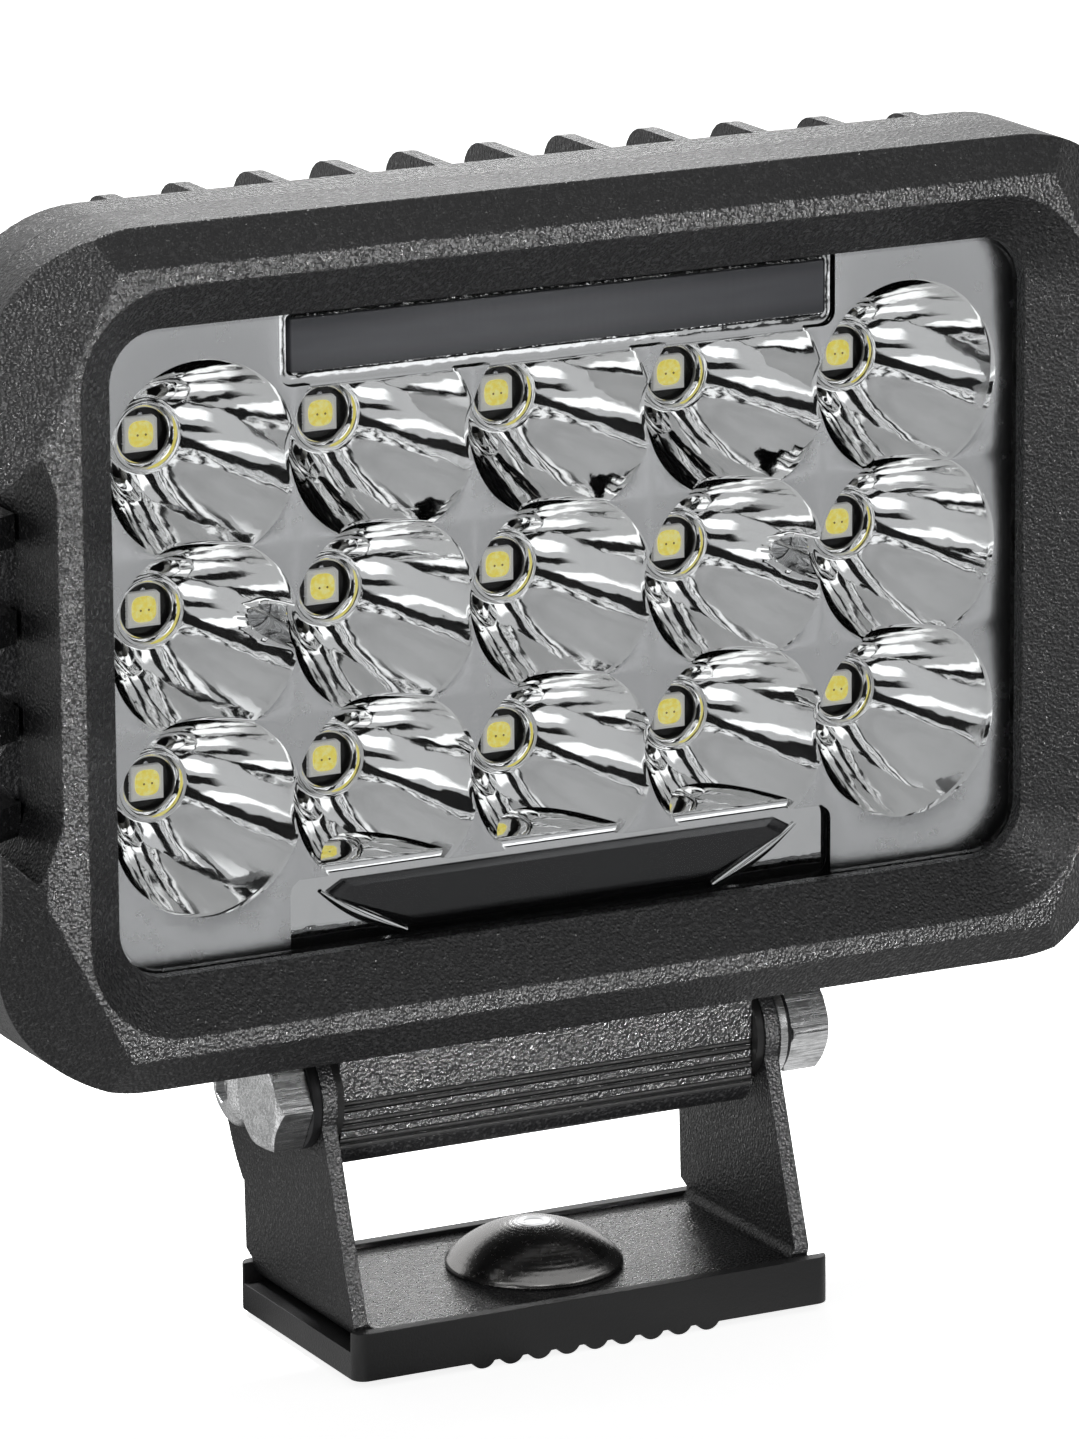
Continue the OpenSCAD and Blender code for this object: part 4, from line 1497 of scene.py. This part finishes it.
@dataclass
class Studio:
    """Camera, pale floor and soft light."""

    place: Point = (-0.5328, -1.0427, 0.3954)
    turn: float = 27.127
    down: float = 14.704
    roll: float = -0.348
    lens: float = 213.85
    patch: tuple[float, float] = (0.11, -0.27)
    patch_r: float = 0.30

    def camera(self) -> None:
        """Makes the camera."""
        data = bpy.data.cameras.new("studio_camera")
        data.sensor_fit = "VERTICAL"
        data.sensor_height = 36.0
        data.lens = self.lens
        data.clip_start = 0.05
        data.clip_end = 30.0
        eye = bpy.data.objects.new("studio_camera", data)
        aim = (Matrix.Rotation(math.radians(-self.turn), 4, "Z")
               @ Matrix.Rotation(math.radians(90.0 - self.down), 4, "X")
               @ Matrix.Rotation(math.radians(self.roll), 4, "Z"))
        eye.matrix_world = Matrix.Translation(self.place) @ aim
        bpy.context.scene.collection.objects.link(eye)
        bpy.context.scene.camera = eye

    def floor(self) -> None:
        """Makes the pale floor; mirrors see a plain patch of it in front of the light, and bars beyond."""
        maker = MeshMaker("studio_floor")
        half = 6000.0
        corners = ((-half, -half), (half, -half), (half, half), (-half, half))
        maker.face([maker.point(x, y, 0.0) for x, y in corners])
        piece = maker.build([])
        made = bpy.data.materials.new("pale_floor")
        made.use_nodes = True
        graph = Graph(made.node_tree)
        shade = graph.noise(graph.millimetres(), 0.002, 2.0)
        shader = graph.add("ShaderNodeBsdfPrincipled", None, {
            "Base Color": graph.blend(shade, (0.93, 0.93, 0.93), (0.95, 0.95, 0.95)), "Roughness": 0.9,
            "Specular IOR Level": 0.1, "Emission Color": (1.0, 1.0, 1.0), "Emission Strength": 0.85})
        metres = graph.millimetres((MM, MM, MM))
        bend = graph.noise(metres, 5.0, 2.0)
        x, y, _ = graph.parts(metres)
        bars = graph.math("SINE", (x * 1.3 + y * 0.5 + bend * 0.35) * 30.0)
        away = ((x - self.patch[0]) ** 2.0 + (y - self.patch[1]) ** 2.0) ** 0.5
        plain = 1.0 - away.step(self.patch_r * 0.8, self.patch_r)
        barred = 0.58 + bars.step(0.2, 0.45) * 0.7 - (bars * -1.0).step(0.6, 0.8) * 0.55
        tone = barred * (1.0 - plain) + plain * (0.34 + bend * 0.3)
        mirrored = graph.add("ShaderNodeEmission", None, {"Color": (1.0, 1.0, 1.0), "Strength": tone})
        rays = graph.add("ShaderNodeLightPath", out="Is Glossy Ray")
        dim = graph.add("ShaderNodeEmission", None, {"Color": (1.0, 1.0, 1.0), "Strength": 0.35})
        bounce = graph.add("ShaderNodeLightPath", out="Is Diffuse Ray")
        lit = graph.add("ShaderNodeMixShader", None, {0: bounce, 1: shader, 2: dim})
        surface = graph.add("ShaderNodeMixShader", None, {0: rays, 1: lit, 2: mirrored})
        graph.add("ShaderNodeOutputMaterial", None, {"Surface": surface})
        piece.data.materials.append(made)

    def sky(self) -> None:
        """Makes the surrounding light: white behind the object, faint on matt surfaces, barred in mirrors."""
        world = bpy.data.worlds.new("studio_surround")
        bpy.context.scene.world = world
        world.use_nodes = True
        graph = Graph(world.node_tree)
        way = graph.add("ShaderNodeTexCoord", out="Generated")
        x, y, z = graph.parts(way)
        # Mirrors see bars of dark and bright in front, a dark band low down and plain light behind
        behind = y.step(0.0, 0.35)
        bend = graph.noise(way, 1.6, 1.0)
        bars = graph.math("SINE", (x * 0.9 - z * 0.5 + bend * 0.5) * 8.0)
        low = 1.0 - z.step(0.15, 0.2)
        dark = bars.step(0.6, 0.75) * (1.0 - z.step(0.45, 0.6)) * (1.0 - low) + low
        white = (bars * -1.0).step(0.5, 0.75) * (1.0 - low) * (1.0 - z.step(0.5, 0.62))
        front = 0.66 * (1.0 - dark) + white * 1.1 + 0.012
        mirrored = front * (1.0 - behind) + behind * 1.0
        glossy = graph.add("ShaderNodeLightPath", out="Is Glossy Ray")
        seen = graph.add("ShaderNodeLightPath", out="Is Camera Ray")
        strength = seen * 1.15 + glossy * mirrored + (1.0 - seen - glossy) * 0.2
        back = graph.add("ShaderNodeBackground", None, {"Color": (1.0, 1.0, 1.0), "Strength": strength})
        graph.add("ShaderNodeOutputWorld", None, {"Surface": back})

    def build(self) -> None:
        """Makes the whole studio."""
        self.camera()
        self.floor()
        self.sky()
        housing, bracket = "rear_housing_shell", "bracket_shell"
        dull = ("front_bezel_shell", housing, bracket)
        for panel in (
            Panel("top_panel", (-0.1, 0.30, 0.9), (0.0, 0.0, 0.08), (0.25, 0.15), 18.0),
            Panel("back_panel", (0.36, 0.72, 0.32), (0.0, 0.0, 0.08), (0.2, 0.1), 0.28),
            Panel("left_panel", (-0.5, -0.30, 0.30), (-0.05, 0.0, 0.1), (0.06, 0.15), 3.4, dull),
            Panel("window_panel", (-0.42, -0.24, 0.045), (-0.088, -0.01, 0.09), (0.12, 0.08), 7.0,
                  (housing,)),
            Panel("foot_panel", (0.28, 0.56, 0.13), (0.0, 0.0, 0.0), (0.12, 0.05), 0.42, (bracket,)),
            Panel("front_panel", (0.12, -0.42, 0.05), (-0.07, 0.0, 0.1), (0.05, 0.035), 4.5, dull),
        ):
            panel.build()
        view = bpy.context.scene.view_settings
        view.view_transform = "Standard"
        view.look = "None"
        LOG.info("studio built")


# ---------------------------------------------------------------- the whole object


HEAD_MIDDLE_Z = 108.6
SLOPE_HALF_W = 79.5
SLOPE_HALF_H = 53.2


def bezel_slope(place: Vector, normal: Vector) -> bool:
    """Whether a face of the bezel belongs to the slope that leads to the lens.

    Args:
        place: the face's middle in millimetres.
        normal: its direction.

    Returns:
        True where it does.
    """
    slanting = -0.95 < normal.y < -0.2 and place.y < -15.0
    return slanting and abs(place.x) < SLOPE_HALF_W and abs(place.z - HEAD_MIDDLE_Z) < SLOPE_HALF_H


def build_head(frame: dict) -> None:
    """Makes the lamp head.
    """
    centre = (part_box("lens")[0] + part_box("lens")[1]) / 2 / MM
    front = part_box("reflector")[0].y / MM
    top_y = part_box("led_packages")[0].y / MM
    reflector = CupReflector(centre.z, front)
    reflector.build()
    PositionLight(centre.z, front).build()
    Nameplate(centre.z, front).build()
    LightSourceDetails(reflector, top_y).build()
    for part in (
        RoundedPart("front_bezel", Body.HEAD, "black_casting", POWDER, 0.4, second=SLOPE,
                    second_where=bezel_slope),
        RoundedPart("rear_housing", Body.HEAD, "black_casting", HOUSING, 0.4),
        RoundedPart("lens", Body.HEAD, "clear_lens", CLEAR, 0.5),
        RoundedPart("position_light_guide", Body.HEAD, "smoked_guide", GUIDE, 0.3),
        RoundedPart("lock_screws", Body.HEAD, "zinc_steel", ZINC, 0.2, limit=34.0),
        RoundedPart("bezel_screws", Body.HEAD, "black_steel_screw", OXIDE, 0.2),
        RoundedPart("gland_nut", Body.HEAD, "black_nylon", NYLON, 0.3),
        RoundedPart("gland_body", Body.HEAD, "black_nylon", NYLON, 0.3),
        RoundedPart("vent_plug", Body.HEAD, "black_nylon", NYLON, 0.3),
    ):
        part.build(frame)
    DressedNodes({
        "lens_gasket": SEAL_RUBBER, "position_light_board": BOARD, "position_light_leds": CERAMIC,
        "led_board": BOARD, "driver_inductors": FERRITE,
        "driver_capacitors": CAN, "board_connector": WHITE_NYLON, "board_screws": ZINC,
        "reflector_screws": ZINC, "thermal_pad": GAP_PAD, "housing_seal": SEAL_RUBBER,
        "gland_seal": SEAL_RUBBER,
    }).build(frame)


def build_base(frame: dict) -> None:
    """Makes the bracket, its fasteners and the pad.
    """
    MountingBolt().build()
    head = [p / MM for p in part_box("head_lock_washer")]
    nut = [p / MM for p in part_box("nut_lock_washer")]
    SplitWasher("head_spring_washer", "head_lock_washer", head[0].x, head[1].x, 4.2, 7.5).build()
    SplitWasher("nut_spring_washer", "nut_lock_washer", nut[0].x, nut[1].x, 4.2, 7.3).build()
    for part in (
        RoundedPart("bracket", Body.BASE, "black_bracket", STEEL_COAT, 0.3),
        RoundedPart("base_pad", Body.BASE, "pad_rubber", PAD_RUBBER, 0.45),
        RoundedPart("pivot_bolt", Body.BASE, "zinc_steel", ZINC, 0.25, limit=20.0),
        RoundedPart("pivot_nut", Body.BASE, "zinc_steel", ZINC, 0.25, limit=20.0),
        RoundedPart("nut_flat_washer", Body.BASE, "zinc_steel", ZINC, 0.15),
    ):
        part.build(frame)
    DressedNodes({"friction_washers": NYLON}).build(frame)


def main() -> None:
    """Builds the scene in order."""
    logging.basicConfig(level=logging.INFO, format="%(name)s: %(message)s")
    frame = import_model()
    build_head(frame)
    build_base(frame)
    Studio().build()
    bpy.context.view_layer.update()


if __name__ == "__main__":
    main()
